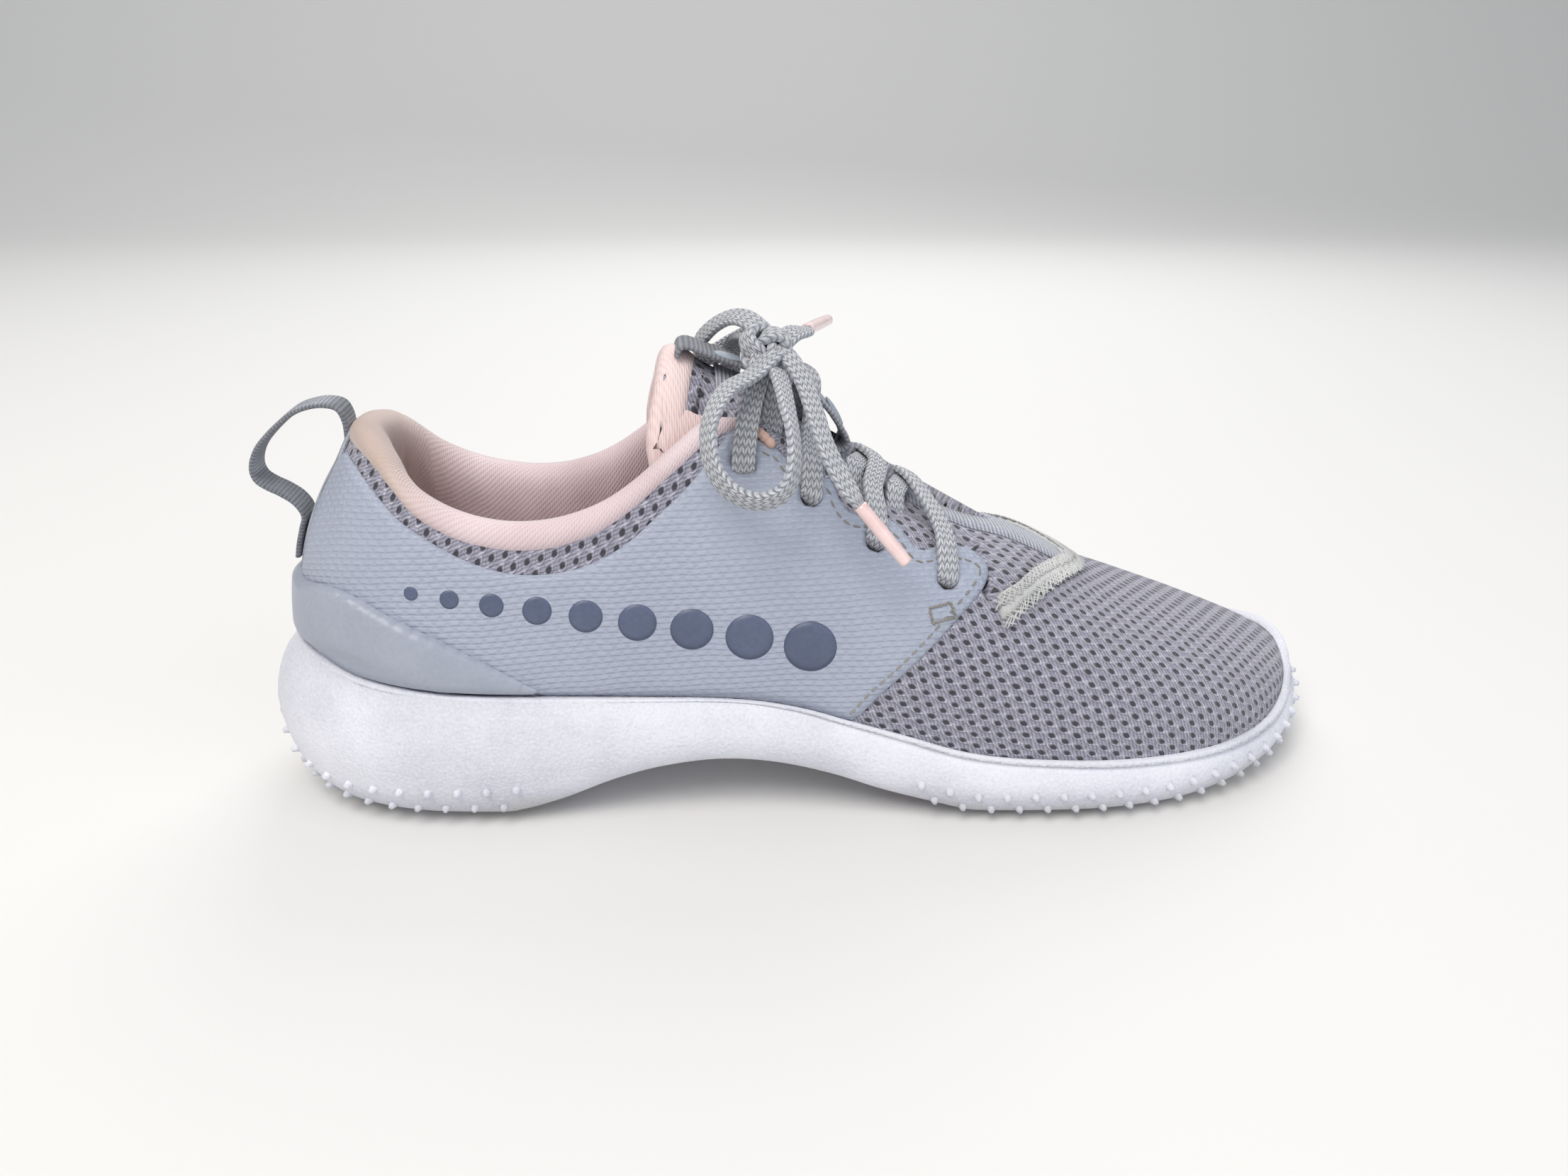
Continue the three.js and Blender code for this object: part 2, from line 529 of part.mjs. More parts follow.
// Closed body from matching closed sections, each end a flat fan between its two long sides.
function sweep(rows) {
  const count = rows[0].length;
  const half = count / 2;
  const triangles = [];
  for (let r = 0; r < rows.length - 1; r += 1) {
    for (let i = 0; i < count; i += 1) {
      const a = r * count + i;
      const b = r * count + ((i + 1) % count);
      if (i < half) triangles.push(a, b + count, b, a, a + count, b + count);
      else triangles.push(a, a + count, b, b, a + count, b + count);
    }
  }
  for (let i = 0; i < half - 1; i += 1) {
    const [a, b, c, d] = [i, i + 1, count - 2 - i, count - 1 - i];
    const e = (rows.length - 1) * count;
    triangles.push(a, b, c, a, c, d, a + e, c + e, b + e, a + e, d + e, c + e);
  }
  return solid(geometryOf(rows.flat().flatMap((p) => [p.x, p.y, p.z]), triangles));
}
piece('tongue_mesh', tongueLayer(0, 1.2), '#9a98a5', 0.95);
piece('tongue_foam', tongueLayer(1.6, 4.4), '#e8e2da', 0.95);
piece('tongue_lining', tongueLayer(4.8, 5.7), '#e6b5a8', 0.85);

// Ribbon sewn down the tongue centre, and the keeper strap folded over its upper end.
const ribbonLayer = (low, high, half, x0, x1, y0 = THROAT_Y) => {
  const rows = [];
  const steps = Math.max(2, Math.round((x1 - x0) / 7));
  for (let i = 0; i <= steps; i += 1) {
    const x = x0 + ((x1 - x0) * i) / steps;
    const across = [-1, -0.33, 0.33, 1].map((u) => y0 + u * half);
    const at = (y, lift) => new THREE.Vector3(x, y, tongueFace(x, y) + lift);
    rows.push([...across.map((y) => at(y, high)), ...across.slice().reverse().map((y) => at(y, low))]);
  }
  return sweep(rows);
};
piece('tongue_ribbon', ribbonLayer(0.6, 1.5, 7.5, 9, 61), '#a4a6b0', 0.85);

// Side-view band of even thickness along a path, the path being its outer face.
function bandShape(path, thickness) {
  const inner = path.map(([x, z], i) => {
    const a = path[Math.max(0, i - 1)];
    const b = path[Math.min(path.length - 1, i + 1)];
    const d = Math.hypot(b[0] - a[0], b[1] - a[1]);
    return [x + ((b[1] - a[1]) / d) * thickness, z - ((b[0] - a[0]) / d) * thickness];
  });
  return [...path, ...inner.reverse()];
}
const KEEPER_PATH = [
  [-38.4, 112], [-34, 111], [-28, 108.6], [-20, 106], [-12, 103], [-6, 100.4], [-1, 97.6], [1.9, 94.6], [4.4, 91],
  [6.4, 87.6], [6.8, 85.4], [5.2, 83.4], [2.6, 83.9], [-1, 87],
];
const KEEPER_THICK = 1.3;
const KEEPER_HALF = 7.5;
piece('tongue_keeper', sideways(bandShape(KEEPER_PATH, KEEPER_THICK),
  THROAT_Y - KEEPER_HALF, THROAT_Y + KEEPER_HALF), '#a2a6b2', 0.8);

// ---------------------------------------------------------------- heel pull loop
const LOOP_PATH = [
  [-110.4, 96.2], [-114, 96.6], [-118, 96.8], [-122, 96.3], [-125.4, 95], [-129, 92.3], [-132.3, 89.3],
  [-135, 86.2], [-136.6, 82.8], [-136.9, 80], [-136, 77.6], [-133.6, 75.4], [-131, 73.6], [-129, 71.4],
];
piece('heel_loop', sideways(bandShape(LOOP_PATH, -LOOP_THICK), -LOOP_WIDTH / 2, LOOP_WIDTH / 2), '#9fa3ad', 0.8);

// ---------------------------------------------------------------- lace
function cord(points, radius, steps, sides = 8) {
  const shape = new THREE.Shape();
  for (let i = 0; i < sides; i += 1) {
    const a = (i / sides) * Math.PI * 2;
    const [x, y] = [Math.cos(a) * radius, Math.sin(a) * radius];
    if (i === 0) shape.moveTo(x, y);
    else shape.lineTo(x, y);
  }
  shape.closePath();
  const path = new THREE.CatmullRomCurve3(points.map((p) => new THREE.Vector3(...p)), false, 'centripetal');
  return solid(new THREE.ExtrudeGeometry(shape, { steps, extrudePath: path, bevelEnabled: false }));
}
const LACE_COLOR = '#9a9c9f';
const above = (x, y, lift) => {
  const n = normalOn(x, y);
  return [x + n.x * lift, y + n.y * lift, heightOn(x, y) + n.z * lift];
};
const overTongue = (x, span, lift) => [x, THROAT_Y + span, tongueFace(x, THROAT_Y + span) + lift];

// Rising from one eyelet, over the tongue, to the far edge of the throat.
function crossing(row, side, stack, [near, middle, far]) {
  const [x0, span] = EYELETS[row];
  const y0 = THROAT_Y + side * span;
  return cord([
    above(x0, y0, -0.4),
    above(x0, y0, 4.2),
    above(x0 - 0.4, THROAT_Y + side * (span - 8), 4.6),
    overTongue(near, side * 6, LACE_R + 4.1 + stack),
    overTongue(middle, 0, LACE_R + 3.3 + stack),
    overTongue(far, -side * 10.4, LACE_R + 1.9),
  ], LACE_R, 7);
}
// The upper row passes over the keeper strap.
const keeperTop = profile(KEEPER_PATH.slice(0, 8));
function keeperCrossing(side, stack) {
  const [x0, span] = EYELETS[2];
  const y0 = THROAT_Y + side * span;
  const over = (x, across, lift) => [x, THROAT_Y + across, keeperTop(x) + lift];
  return cord([
    above(x0, y0, -0.4),
    above(x0, y0, 4.2),
    above(x0 - 0.4, THROAT_Y + side * 15, 5.6),
    over(-3.6, side * 9, LACE_R + 0.2 + stack),
    over(-6.4, 0, LACE_R + 1.9 + stack),
    over(-10, -side * 9, LACE_R + 0.5),
    overTongue(-14, -side * 12.4, LACE_R + 1.6),
  ], LACE_R, 8);
}
const STACK = 2 * LACE_R + 0.9;
const ROW_REACH = [[23.4, 21.4, 17.4], [13.6, 11.4, 7]];   // x on the near side, middle and far side
ROW_REACH.forEach((reach, row) => {
  piece(`lace_under_${row + 1}`, crossing(row, 1, 0, reach), LACE_COLOR, 0.9);
  piece(`lace_over_${row + 1}`, crossing(row, -1, STACK, reach), LACE_COLOR, 0.9);
});
piece('lace_under_3', keeperCrossing(1, 0), LACE_COLOR, 0.9);
piece('lace_over_3', keeperCrossing(-1, STACK), LACE_COLOR, 0.9);
const KNOT = [-15, -13, 112.5];
const KNOT_R = 3.4;
const knot = new THREE.TorusKnotGeometry(KNOT_R, 1.3, 32, 6, 2, 3);
knot.rotateX(1.1);
knot.translate(...KNOT);
piece('lace_knot', solid(knot), LACE_COLOR, 0.9);
piece('lace_rise_lateral', cord([
  above(-20.8, THROAT_Y - 23.2, -0.4), above(-20.8, THROAT_Y - 23.2, 4.2), [-21, -25.6, 94], [-19.4, -21, 101.6],
], LACE_R, 4), LACE_COLOR, 0.9);
piece('lace_rise_medial', cord([
  above(-20.8, THROAT_Y + 23.2, -0.4), above(-20.8, THROAT_Y + 23.2, 4.6), [-21, 16.6, 98.4], [-20.6, 9, 107],
  [-19.4, 2, 111.4], [-18.4, -3, 112.6],
], LACE_R, 5), LACE_COLOR, 0.9);
piece('lace_bow_near', cord([
  [-19.5, -19.5, 107.5], [-24.4, -29, 103.8], [-28.4, -36, 98.6], [-28.8, -41, 91.6], [-25.4, -44.4, 85.8],
  [-18.6, -46.5, 83.4], [-12.8, -46, 87], [-10.7, -42, 94], [-11.4, -34, 99.6], [-11.8, -25, 104],
], LACE_R, 13), LACE_COLOR, 0.9);
piece('lace_bow_far', cord([
  [-17.6, -6, 119], [-22, -2, 118.6], [-26.4, 3, 116], [-28.6, 8.6, 111], [-27, 14, 107], [-21.4, 16, 108],
  [-15.6, 12, 111], [-12, 4, 113.6], [-12, -3, 114.6],
], LACE_R, 9), LACE_COLOR, 0.9);
piece('lace_end_near', cord([
  [-5.6, -19.4, 106], [-4.6, -24, 101.6], [-3.4, -31, 95.6], [-2, -36, 90.4], [1, -40, 84.4], [3.7, -42.4, 80.4],
], LACE_R, 6), LACE_COLOR, 0.9);
piece('aglet_near', cord([[4, -42.7, 80], [14, -46.4, 67.6]], AGLET_R, 1), '#f0d4d2', 0.35);
piece('lace_end_far', cord([
  [-6.2, -12.6, 113.4], [-5, -8.8, 114], [-3.6, -4.6, 113.9], [-2.4, -1.2, 113.4],
], LACE_R, 3), LACE_COLOR, 0.9);
piece('aglet_far', cord([[-2.3, -0.8, 113.3], [4.8, 19.4, 111]], AGLET_R, 1), '#f0d4d2', 0.35);

// The frame's origin is the middle of the footprint of everything but the free lace, on the floor.
const shoe = new THREE.Group();
parts.forEach((p) => shoe.add(p));
const FREE_LACE = ['lace_bow_near', 'lace_bow_far', 'lace_end_near', 'lace_end_far', 'aglet_near', 'aglet_far'];
const box = new THREE.Box3();
parts.filter((p) => !FREE_LACE.includes(p.name)).forEach((p) => box.expandByObject(p));
shoe.position.set(-(box.min.x + box.max.x) / 2, -(box.min.y + box.max.y) / 2, -box.min.z);
export default shoe;
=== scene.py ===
import bpy, bmesh, math
import numpy as np
from mathutils import Matrix, Vector


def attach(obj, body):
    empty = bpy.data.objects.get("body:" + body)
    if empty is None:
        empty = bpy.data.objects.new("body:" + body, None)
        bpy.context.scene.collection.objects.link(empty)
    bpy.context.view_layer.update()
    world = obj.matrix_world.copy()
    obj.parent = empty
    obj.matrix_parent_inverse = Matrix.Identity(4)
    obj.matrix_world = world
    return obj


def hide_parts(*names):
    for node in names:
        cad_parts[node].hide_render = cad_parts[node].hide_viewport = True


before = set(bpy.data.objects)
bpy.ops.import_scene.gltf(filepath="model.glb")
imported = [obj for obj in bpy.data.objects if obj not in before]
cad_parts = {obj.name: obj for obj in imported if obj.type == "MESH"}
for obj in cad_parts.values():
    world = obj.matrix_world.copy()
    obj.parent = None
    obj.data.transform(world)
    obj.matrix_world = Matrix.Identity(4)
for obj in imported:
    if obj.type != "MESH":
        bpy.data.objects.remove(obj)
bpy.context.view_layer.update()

print("stage: frame loaded")

# the last: the same rules as the CAD source, in millimetres before the frame shift
frameShift = np.array([-1.5, 1.7, 0.0])
last = {
    "spineHeel": -100.0, "spineToe": 92.0, "throatY": -3.0,
    "solePlan": [(-138, 0), (-134.5, -16), (-123, -29.5), (-105, -37.5), (-85, -39.5), (-58, -39),
                 (-25, -39.5), (10, -44), (42, -48.5), (72, -49), (98, -42.5), (118, -30),
                 (131.5, -14), (138.5, 3), (139, 15), (133, 27), (119, 38), (98, 44.5),
                 (72, 46), (42, 42), (10, 35), (-25, 31.5), (-58, 33.5), (-85, 36.5),
                 (-105, 35.5), (-123, 28), (-134.5, 15)],
    "soleTop": [(-131, 41), (-121, 39), (-110, 36.2), (-89, 34), (-67, 32.5), (-48, 31.6), (-21, 30.2),
                (-8, 28.3), (3, 25.3), (17, 21.5), (30, 17.9), (42, 16.2), (58, 15.2), (85, 14),
                (108, 13.4), (122, 14.6), (132, 17.2), (140, 20)],
    "soleUnder": [(-138, 9), (-134, 5), (-128, 2), (-118, 0.3), (-112, 0), (-104, 0), (-84, 0), (-78, 0),
                  (-66, 3), (-53, 8), (-42, 11), (-28, 12.8), (-14, 12), (0, 9), (12, 5), (26, 1.6),
                  (34, 0), (42, 0), (72, 0), (86, 0), (100, 0.9), (118, 2.6), (130, 4.6), (140, 7)],
    "crown": [(-131, 90), (-117, 91), (-112, 95), (-104, 100), (-90, 106), (-73, 111), (-55, 113),
              (-38, 111), (-21.5, 103.5), (-10, 94), (0, 85.5), (10, 79), (20, 73), (35, 65.5), (47, 62),
              (56, 58), (65, 53.2), (74, 48.4), (83, 44.8), (92, 41.2), (102, 37.6), (112, 34.6),
              (122, 32.4), (139, 30)],
    "inset": [(-138, 9), (-100, 7), (-60, 5.6), (0, 4.6), (60, 4.2), (139, 3.6)],
    "square": [(-131, 2), (-60, 2), (-20, 2.4), (20, 2.4), (60, 2.2), (92, 2.2), (139, 2.4)],
    "spineY": [(-100, -0.5), (-60, -2), (-25, -3), (10, -3.5), (42, -2.5), (72, 0), (92, 2.5)],
}


def unit(v):
    return v / np.maximum(np.linalg.norm(v, axis=-1, keepdims=True), 1e-9)


def runLength(points):
    # length of a line up to each of its points
    return np.concatenate([[0], np.cumsum(np.linalg.norm(np.diff(points, axis=0), axis=1))])


def profile(stations):
    # smooth curve through (x, value) stations, level at both ends
    sx = np.array([s[0] for s in stations], float)
    sv = np.array([s[1] for s in stations], float)
    slope = np.zeros(len(sx))
    slope[1:-1] = (sv[2:] - sv[:-2]) / (sx[2:] - sx[:-2])

    def at(x):
        x = np.clip(np.asarray(x, float), sx[0], sx[-1])
        i = np.clip(np.searchsorted(sx, x, side="right") - 1, 0, len(sx) - 2)
        w = sx[i + 1] - sx[i]
        u = (x - sx[i]) / w
        return ((1 + 2 * u) * (1 - u) ** 2 * sv[i] + u * (1 - u) ** 2 * w * slope[i]
                + u * u * (3 - 2 * u) * sv[i + 1] + u * u * (u - 1) * w * slope[i + 1])
    return at


soleTop, soleUnderRaw, crown = profile(last["soleTop"]), profile(last["soleUnder"]), profile(last["crown"])
upperInset, squareness, spineY = profile(last["inset"]), profile(last["square"]), profile(last["spineY"])


def underside(x):
    return np.maximum(0, soleUnderRaw(x)) + 0.8


def smooth(a, b, x):
    u = np.clip((np.asarray(x, float) - a) / (b - a), 0, 1)
    return u * u * (3 - 2 * u)


def splineThrough(points, t, closed=False):
    # centripetal Catmull-Rom, t from 0 to 1
    p = np.asarray(points, float)
    n = len(p)
    t = np.asarray(t, float)
    s = (t % 1.0) * n if closed else np.clip(t, 0, 1) * (n - 1)
    i = np.minimum(np.floor(s).astype(int), n - 1 if closed else n - 2)
    w = (s - i)[..., None]
    if closed:
        p0, p1, p2, p3 = p[(i - 1) % n], p[i % n], p[(i + 1) % n], p[(i + 2) % n]
    else:
        ext = np.vstack([2 * p[0] - p[1], p, 2 * p[-1] - p[-2]])
        p0, p1, p2, p3 = ext[i], ext[i + 1], ext[i + 2], ext[i + 3]
    d0, d1, d2 = (np.maximum(((b - a) ** 2).sum(-1), 1e-12)[..., None] ** 0.25 for a,
                  b in ((p0, p1), (p1, p2), (p2, p3)))
    t1 = ((p1 - p0) / d0 - (p2 - p0) / (d0 + d1) + (p2 - p1) / d1) * d1
    t2 = ((p2 - p1) / d1 - (p3 - p1) / (d1 + d2) + (p3 - p2) / d2) * d1
    return p1 + t1 * w + (-3 * p1 + 3 * p2 - 2 * t1 - t2) * w ** 2 + (2 * p1 - 2 * p2 + t1 + t2) * w ** 3


def planPoint(t, inset):
    e = 1e-4
    p = splineThrough(last["solePlan"], t, True)
    ahead = splineThrough(last["solePlan"], np.asarray(t) + e, True)
    behind = splineThrough(last["solePlan"], np.asarray(t) - e, True)
    d = unit(ahead - behind)
    inset = np.asarray(inset)[..., None] if np.ndim(inset) else inset
    return p + np.stack([-d[..., 1], d[..., 0]], -1) * inset


def spinePoint(x):
    s = np.clip(x, last["spineHeel"], last["spineToe"])
    return np.stack([s, spineY(s)], -1)


def lastPoint(t, angle):
    edge = planPoint(t, upperInset(planPoint(t, 0.0)[..., 0]))
    spine = spinePoint(edge[..., 0])
    power = squareness(edge[..., 0])
    share = np.cos(angle) ** (2 / power)
    xy = spine + (edge - spine) * share[..., None]
    base = soleTop(xy[..., 0]) - 1
    z = base + (crown(xy[..., 0]) - base) * np.sin(angle) ** (2 / power)
    return np.concatenate([xy, z[..., None]], -1)


def lastNormal(t, angle):
    e = 2e-3
    low = np.maximum(angle, 2 * e)
    ring = lastPoint(t + e, low) - lastPoint(t - e, low)
    up = lastPoint(t, low + e) - lastPoint(t, low - e)
    return unit(np.cross(ring, up))


def heightOn(x, y):
    # height of the last over a plan point, between the ends of the spine
    x, y = np.broadcast_arrays(np.asarray(x, float), np.asarray(y, float))
    side = np.where(y < spineY(x), -1, 1)
    ys = spineY(x)
    edge = np.where(side < 0, np.interp(x, lateralX, lateralY), np.interp(x, medialX, medialY))
    share = np.clip(np.abs((y - ys) / (edge - ys)), 0, 1)
    power = squareness(x)
    base = soleTop(x) - 1
    return base + (crown(x) - base) * (1 - share ** power) ** (1 / power)


def slopeNormal(height, x, y, e):
    dx = (height(x + e, y) - height(x - e, y)) / (2 * e)
    dy = (height(x, np.asarray(y) + e) - height(x, np.asarray(y) - e)) / (2 * e)
    return unit(np.stack([-dx, -dy, np.ones_like(dx)], -1))


def normalOn(x, y):
    return slopeNormal(heightOn, x, y, 0.4)


tEdge = np.linspace(0, 1, 2001)
upperEdge = planPoint(tEdge, upperInset(planPoint(tEdge, 0.0)[:, 0]))
toeIndex = int(np.argmax(upperEdge[:, 0]))
lateralX, lateralY = upperEdge[:toeIndex, 0], upperEdge[:toeIndex, 1]
medialX, medialY = upperEdge[toeIndex:][::-1, 0], upperEdge[toeIndex:][::-1, 1]

# materials: one helper that adds a node, sRGB hex to linear
pieces = {}


def linear(hexCode, alpha=1.0):
    c = [int(hexCode[i:i + 2], 16) / 255 for i in (1, 3, 5)]
    return tuple(v / 12.92 if v <= 0.04045 else ((v + 0.055) / 1.055) ** 2.4 for v in c) + (alpha,)


def add(tree, kind, settings=None, links=None):
    node = tree.nodes.new(kind)
    for key, value in (settings or {}).items():
        if isinstance(key, int) or key in node.inputs:
            node.inputs[key].default_value = value
        else:
            setattr(node, key, value)
    for key, source in (links or {}).items():
        tree.links.new(source, node.inputs[key])
    return node


def math2(tree, op, a, b=None, c=None):
    node = tree.nodes.new("ShaderNodeMath")
    node.operation = op
    for i, v in enumerate((a, b, c)):
        if v is None:
            continue
        if isinstance(v, (int, float)):
            node.inputs[i].default_value = v
        else:
            tree.links.new(v, node.inputs[i])
    return node.outputs[0]


def newMaterial(name, hexCode, roughness, settings=None):
    m = bpy.data.materials.new(name)
    m.use_nodes = True
    bsdf = m.node_tree.nodes["Principled BSDF"]
    bsdf.inputs["Base Color"].default_value = linear(hexCode)
    bsdf.inputs["Roughness"].default_value = roughness
    for key, value in (settings or {}).items():
        bsdf.inputs[key].default_value = value
    return m, m.node_tree, bsdf


def colourFrom(tree, bsdf, factor, stops):
    ramp = add(tree, "ShaderNodeValToRGB", links={"Fac": factor})
    while len(ramp.color_ramp.elements) < len(stops):
        ramp.color_ramp.elements.new(0.5)
    for element, (at, hexCode) in zip(ramp.color_ramp.elements, stops):
        element.position = at
        element.color = linear(hexCode)
    tree.links.new(ramp.outputs[0], bsdf.inputs["Base Color"])
    return ramp.outputs[0]


def bumpFrom(tree, bsdf, height, distance, strength=1.0, after=None):
    links = {"Height": height}
    if after is not None:
        links["Normal"] = after
    bump = add(tree, "ShaderNodeBump", {"Strength": strength, "Distance": distance}, links)
    tree.links.new(bump.outputs[0], bsdf.inputs["Normal"])
    return bump.outputs[0]


def noise(tree, coord, scale, detail=3.0, rough=0.55):
    return add(tree, "ShaderNodeTexNoise", {"Scale": scale, "Detail": detail, "Roughness": rough},
               {"Vector": coord}).outputs[0]


def mixed(tree, *parts):
    # sum of outputs, each times its share
    total = None
    for source, share in parts:
        part = source if share == 1 else math2(tree, "MULTIPLY", source, share)
        total = part if total is None else math2(tree, "ADD", total, part)
    return total


def fromMiddle(tree, value):
    # distance from the middle of each unit cell
    return math2(tree, "ABSOLUTE", math2(tree, "SUBTRACT", math2(tree, "FRACT", value), 0.5))


def brickBond(tree, u, v, pitch, rowPitch):
    # distances from the middle of the nearest brick, every other row shifted by half
    level = math2(tree, "DIVIDE", v, rowPitch)
    odd = math2(tree, "MODULO", math2(tree, "ABSOLUTE", math2(tree, "FLOOR", level)), 2.0)
    shifted = math2(tree, "ADD", math2(tree, "DIVIDE", u, pitch), math2(tree, "MULTIPLY", odd, 0.5))
    return fromMiddle(tree, shifted), fromMiddle(tree, level)


def mapped(tree, value, low, high, start, end, kind="LINEAR"):
    span = {"From Min": low, "From Max": high, "To Min": start, "To Max": end, "interpolation_type": kind}
    return add(tree, "ShaderNodeMapRange", span, {"Value": value}).outputs[0]


def clothCoords(tree):
    uv = add(tree, "ShaderNodeUVMap", {"uv_map": "cloth"}).outputs[0]
    parts = add(tree, "ShaderNodeSeparateXYZ", links={0: uv})
    return uv, parts.outputs[0], parts.outputs[1]


def spacerMesh(name, settings):
    # warp-knit polyester spacer mesh: rows of eye-shaped holes between ridged yarns, uv in metres; the holes
    # are painted dark as painted shade inside them, and a ring round each is painted brighter as a painted
    # highlight
    m, tree, bsdf = newMaterial(name, settings["yarn"], 0.78,
                                {"Sheen Weight": 0.25, "Sheen Roughness": 0.5})
    uv, u, v = clothCoords(tree)
    obj = add(tree, "ShaderNodeTexCoord").outputs["Object"]
    wobble = noise(tree, obj, 260.0, 2.0)
    fu, fv = brickBond(tree, u, v, settings["holePitch"], settings["rowPitch"])
    eyeU = math2(tree, "POWER", math2(tree, "DIVIDE", fu, settings["holeU"]), 1.35)
    eyeV = math2(tree, "POWER", math2(tree, "DIVIDE", fv, settings["holeV"]), 2.0)
    eye = mixed(tree, (eyeU, 1), (eyeV, 1), (math2(tree, "SUBTRACT", wobble, 0.5), 0.9))
    # depth is 0 in the holes, which take the darkest colour: painted shade inside the holes
    depth = mapped(tree, eye, 0.55, 1.25, 0.0, 1.0, "SMOOTHSTEP")
    # ring: the yarn round each hole painted brighter, a painted highlight, and also raised in the bump
    ring = mapped(tree, math2(tree, "ABSOLUTE", math2(tree, "SUBTRACT", eye, 2.3)), 0.0, 1.3, 1.0, 0.0)
    fibres = {"Scale": settings["strand"], "Distortion": 2.4, "Detail": 2.0, "Detail Scale": 1.4,
              "bands_direction": "DIAGONAL"}
    strand = add(tree, "ShaderNodeTexWave", fibres, {"Vector": uv}).outputs[1]
    fleck = noise(tree, obj, 900.0, 2.0)
    tone = math2(tree, "MULTIPLY", mixed(tree, (strand, 0.3), (fleck, 0.55), (ring, 0.3)), depth)
    colourFrom(tree, bsdf, tone, [(0.0, settings["paintedHoleShade"]), (0.16, settings["shade"]),
                                  (0.5, settings["yarn"]), (0.95, settings["light"])])
    bumpFrom(tree, bsdf, mixed(tree, (depth, 1), (ring, 0.5), (strand, 0.2)), 0.0007, 1.0)
    return m


def weldedFilm(name, settings):
    # thermoplastic polyurethane film, embossed with short dashes in brick bond
    m, tree, bsdf = newMaterial(name, settings["base"], 0.47,
                                {"Specular IOR Level": 0.42, "Coat Weight": 0.06, "Coat Roughness": 0.35})
    uv, u, v = clothCoords(tree)
    obj = add(tree, "ShaderNodeTexCoord").outputs["Object"]
    v = mixed(tree, (v, 1), (noise(tree, obj, 55.0, 2.0), 0.0016))
    fu, fv = brickBond(tree, u, v, settings["dashPitch"], settings["rowPitch"])
    dash = math2(tree, "MAXIMUM", math2(tree, "DIVIDE", fu, settings["dashU"]),
                 math2(tree, "DIVIDE", fv, settings["dashV"]))
    dash = mapped(tree, dash, 0.55, 1.15, 1.0, 0.0)
    grain = noise(tree, obj, 700.0, 3.0)
    blotch = noise(tree, obj, 26.0, 2.0)
    tone = mixed(tree, (dash, 0.13), (blotch, 0.4), (grain, 0.3))
    colourFrom(tree, bsdf, tone, [(0.1, settings["shade"]), (0.45, settings["base"]),
                                  (0.85, settings["light"])])
    bumpFrom(tree, bsdf, mixed(tree, (dash, 1), (grain, 0.35)), 0.00022, 0.8)
    return m


def plainPlastic(name, base, light, shade, roughness, grainScale, grainDepth, settings=None):
    m, tree, bsdf = newMaterial(name, base, roughness, settings)
    obj = add(tree, "ShaderNodeTexCoord").outputs["Object"]
    grain = noise(tree, obj, grainScale, 3.0)
    blotch = noise(tree, obj, 30.0, 3.0)
    tone = mixed(tree, (grain, 0.35), (blotch, 0.65))
    colourFrom(tree, bsdf, tone, [(0.3, shade), (0.5, base), (0.7, light)])
    bumpFrom(tree, bsdf, grain, grainDepth, 0.8)
    return m


def pebbledFoam(name, settings):
    # injection-moulded EVA with a spark-eroded pebble texture, greyer towards the ground
    m, tree, bsdf = newMaterial(name, settings["base"], 0.6, {"Specular IOR Level": 0.35})
    obj = add(tree, "ShaderNodeTexCoord").outputs["Object"]
    pebble = {"Scale": settings["pebbles"], "feature": "SMOOTH_F1", "Smoothness": 0.5}
    cells = add(tree, "ShaderNodeTexVoronoi", pebble, {"Vector": obj}).outputs[0]
    grain = noise(tree, obj, 1500.0, 2.0)
    blotch = noise(tree, obj, 34.0, 4.0)
    height = add(tree, "ShaderNodeSeparateXYZ", links={0: obj}).outputs[2]
    # greyer within 11 mm of the ground, blended toward the dull tint
    low = mapped(tree, height, 0.0, 0.011, 0.3, 0.0)
    tone = math2(tree, "SUBTRACT", mixed(tree, (blotch, 0.55), (grain, 0.3)), low)
    colourFrom(tree, bsdf, tone, [(0.05, settings["dullTint"]), (0.3, settings["shade"]),
                                  (0.48, settings["base"]), (0.7, settings["light"])])
    bumpFrom(tree, bsdf, mixed(tree, (cells, 1), (grain, 0.3)), 0.00022, 0.7)
    return m


def satinLining(name, settings):
    # brushed polyester jersey: fine twill lines, soft sheen, soiled where the heel rubs
    m, tree, bsdf = newMaterial(name, settings["base"], 0.62,
                                {"Sheen Weight": 0.45, "Sheen Roughness": 0.35})
    uv, u, v = clothCoords(tree)
    obj = add(tree, "ShaderNodeTexCoord").outputs["Object"]
    warpLines = {"Scale": settings["twill"], "Distortion": 0.6, "Detail": 1.0,
                 "bands_direction": "DIAGONAL"}
    weftLines = {"Scale": settings["twill"] * 1.3, "Distortion": 0.5, "bands_direction": "X"}
    twill = add(tree, "ShaderNodeTexWave", warpLines, {"Vector": uv}).outputs[1]
    weft = add(tree, "ShaderNodeTexWave", weftLines, {"Vector": uv}).outputs[1]
    thread = math2(tree, "MULTIPLY", math2(tree, "ADD", twill, weft), 0.5)
    blotch = noise(tree, obj, 40.0, 3.0)
    tone = mixed(tree, (thread, 0.3), (blotch, 0.6))
    clean = colourFrom(tree, bsdf, tone, [(0.2, settings["shade"]), (0.48, settings["base"]),
                                          (0.75, settings["light"])])
    along = add(tree, "ShaderNodeSeparateXYZ", links={0: obj}).outputs[0]
    heel = mapped(tree, along, -0.105, -0.088, settings["soiling"], 0.0)
    heel = math2(tree, "MULTIPLY", heel, math2(tree, "ADD", blotch, 0.25))
    mix = add(tree, "ShaderNodeMix", {"data_type": "RGBA"}, {0: heel})
    tree.links.new(clean, mix.inputs[6])
    mix.inputs[7].default_value = linear(settings["dullTint"])
    tree.links.new(mix.outputs[2], bsdf.inputs["Base Color"])
    bumpFrom(tree, bsdf, thread, 0.0002, 0.6)
    return m


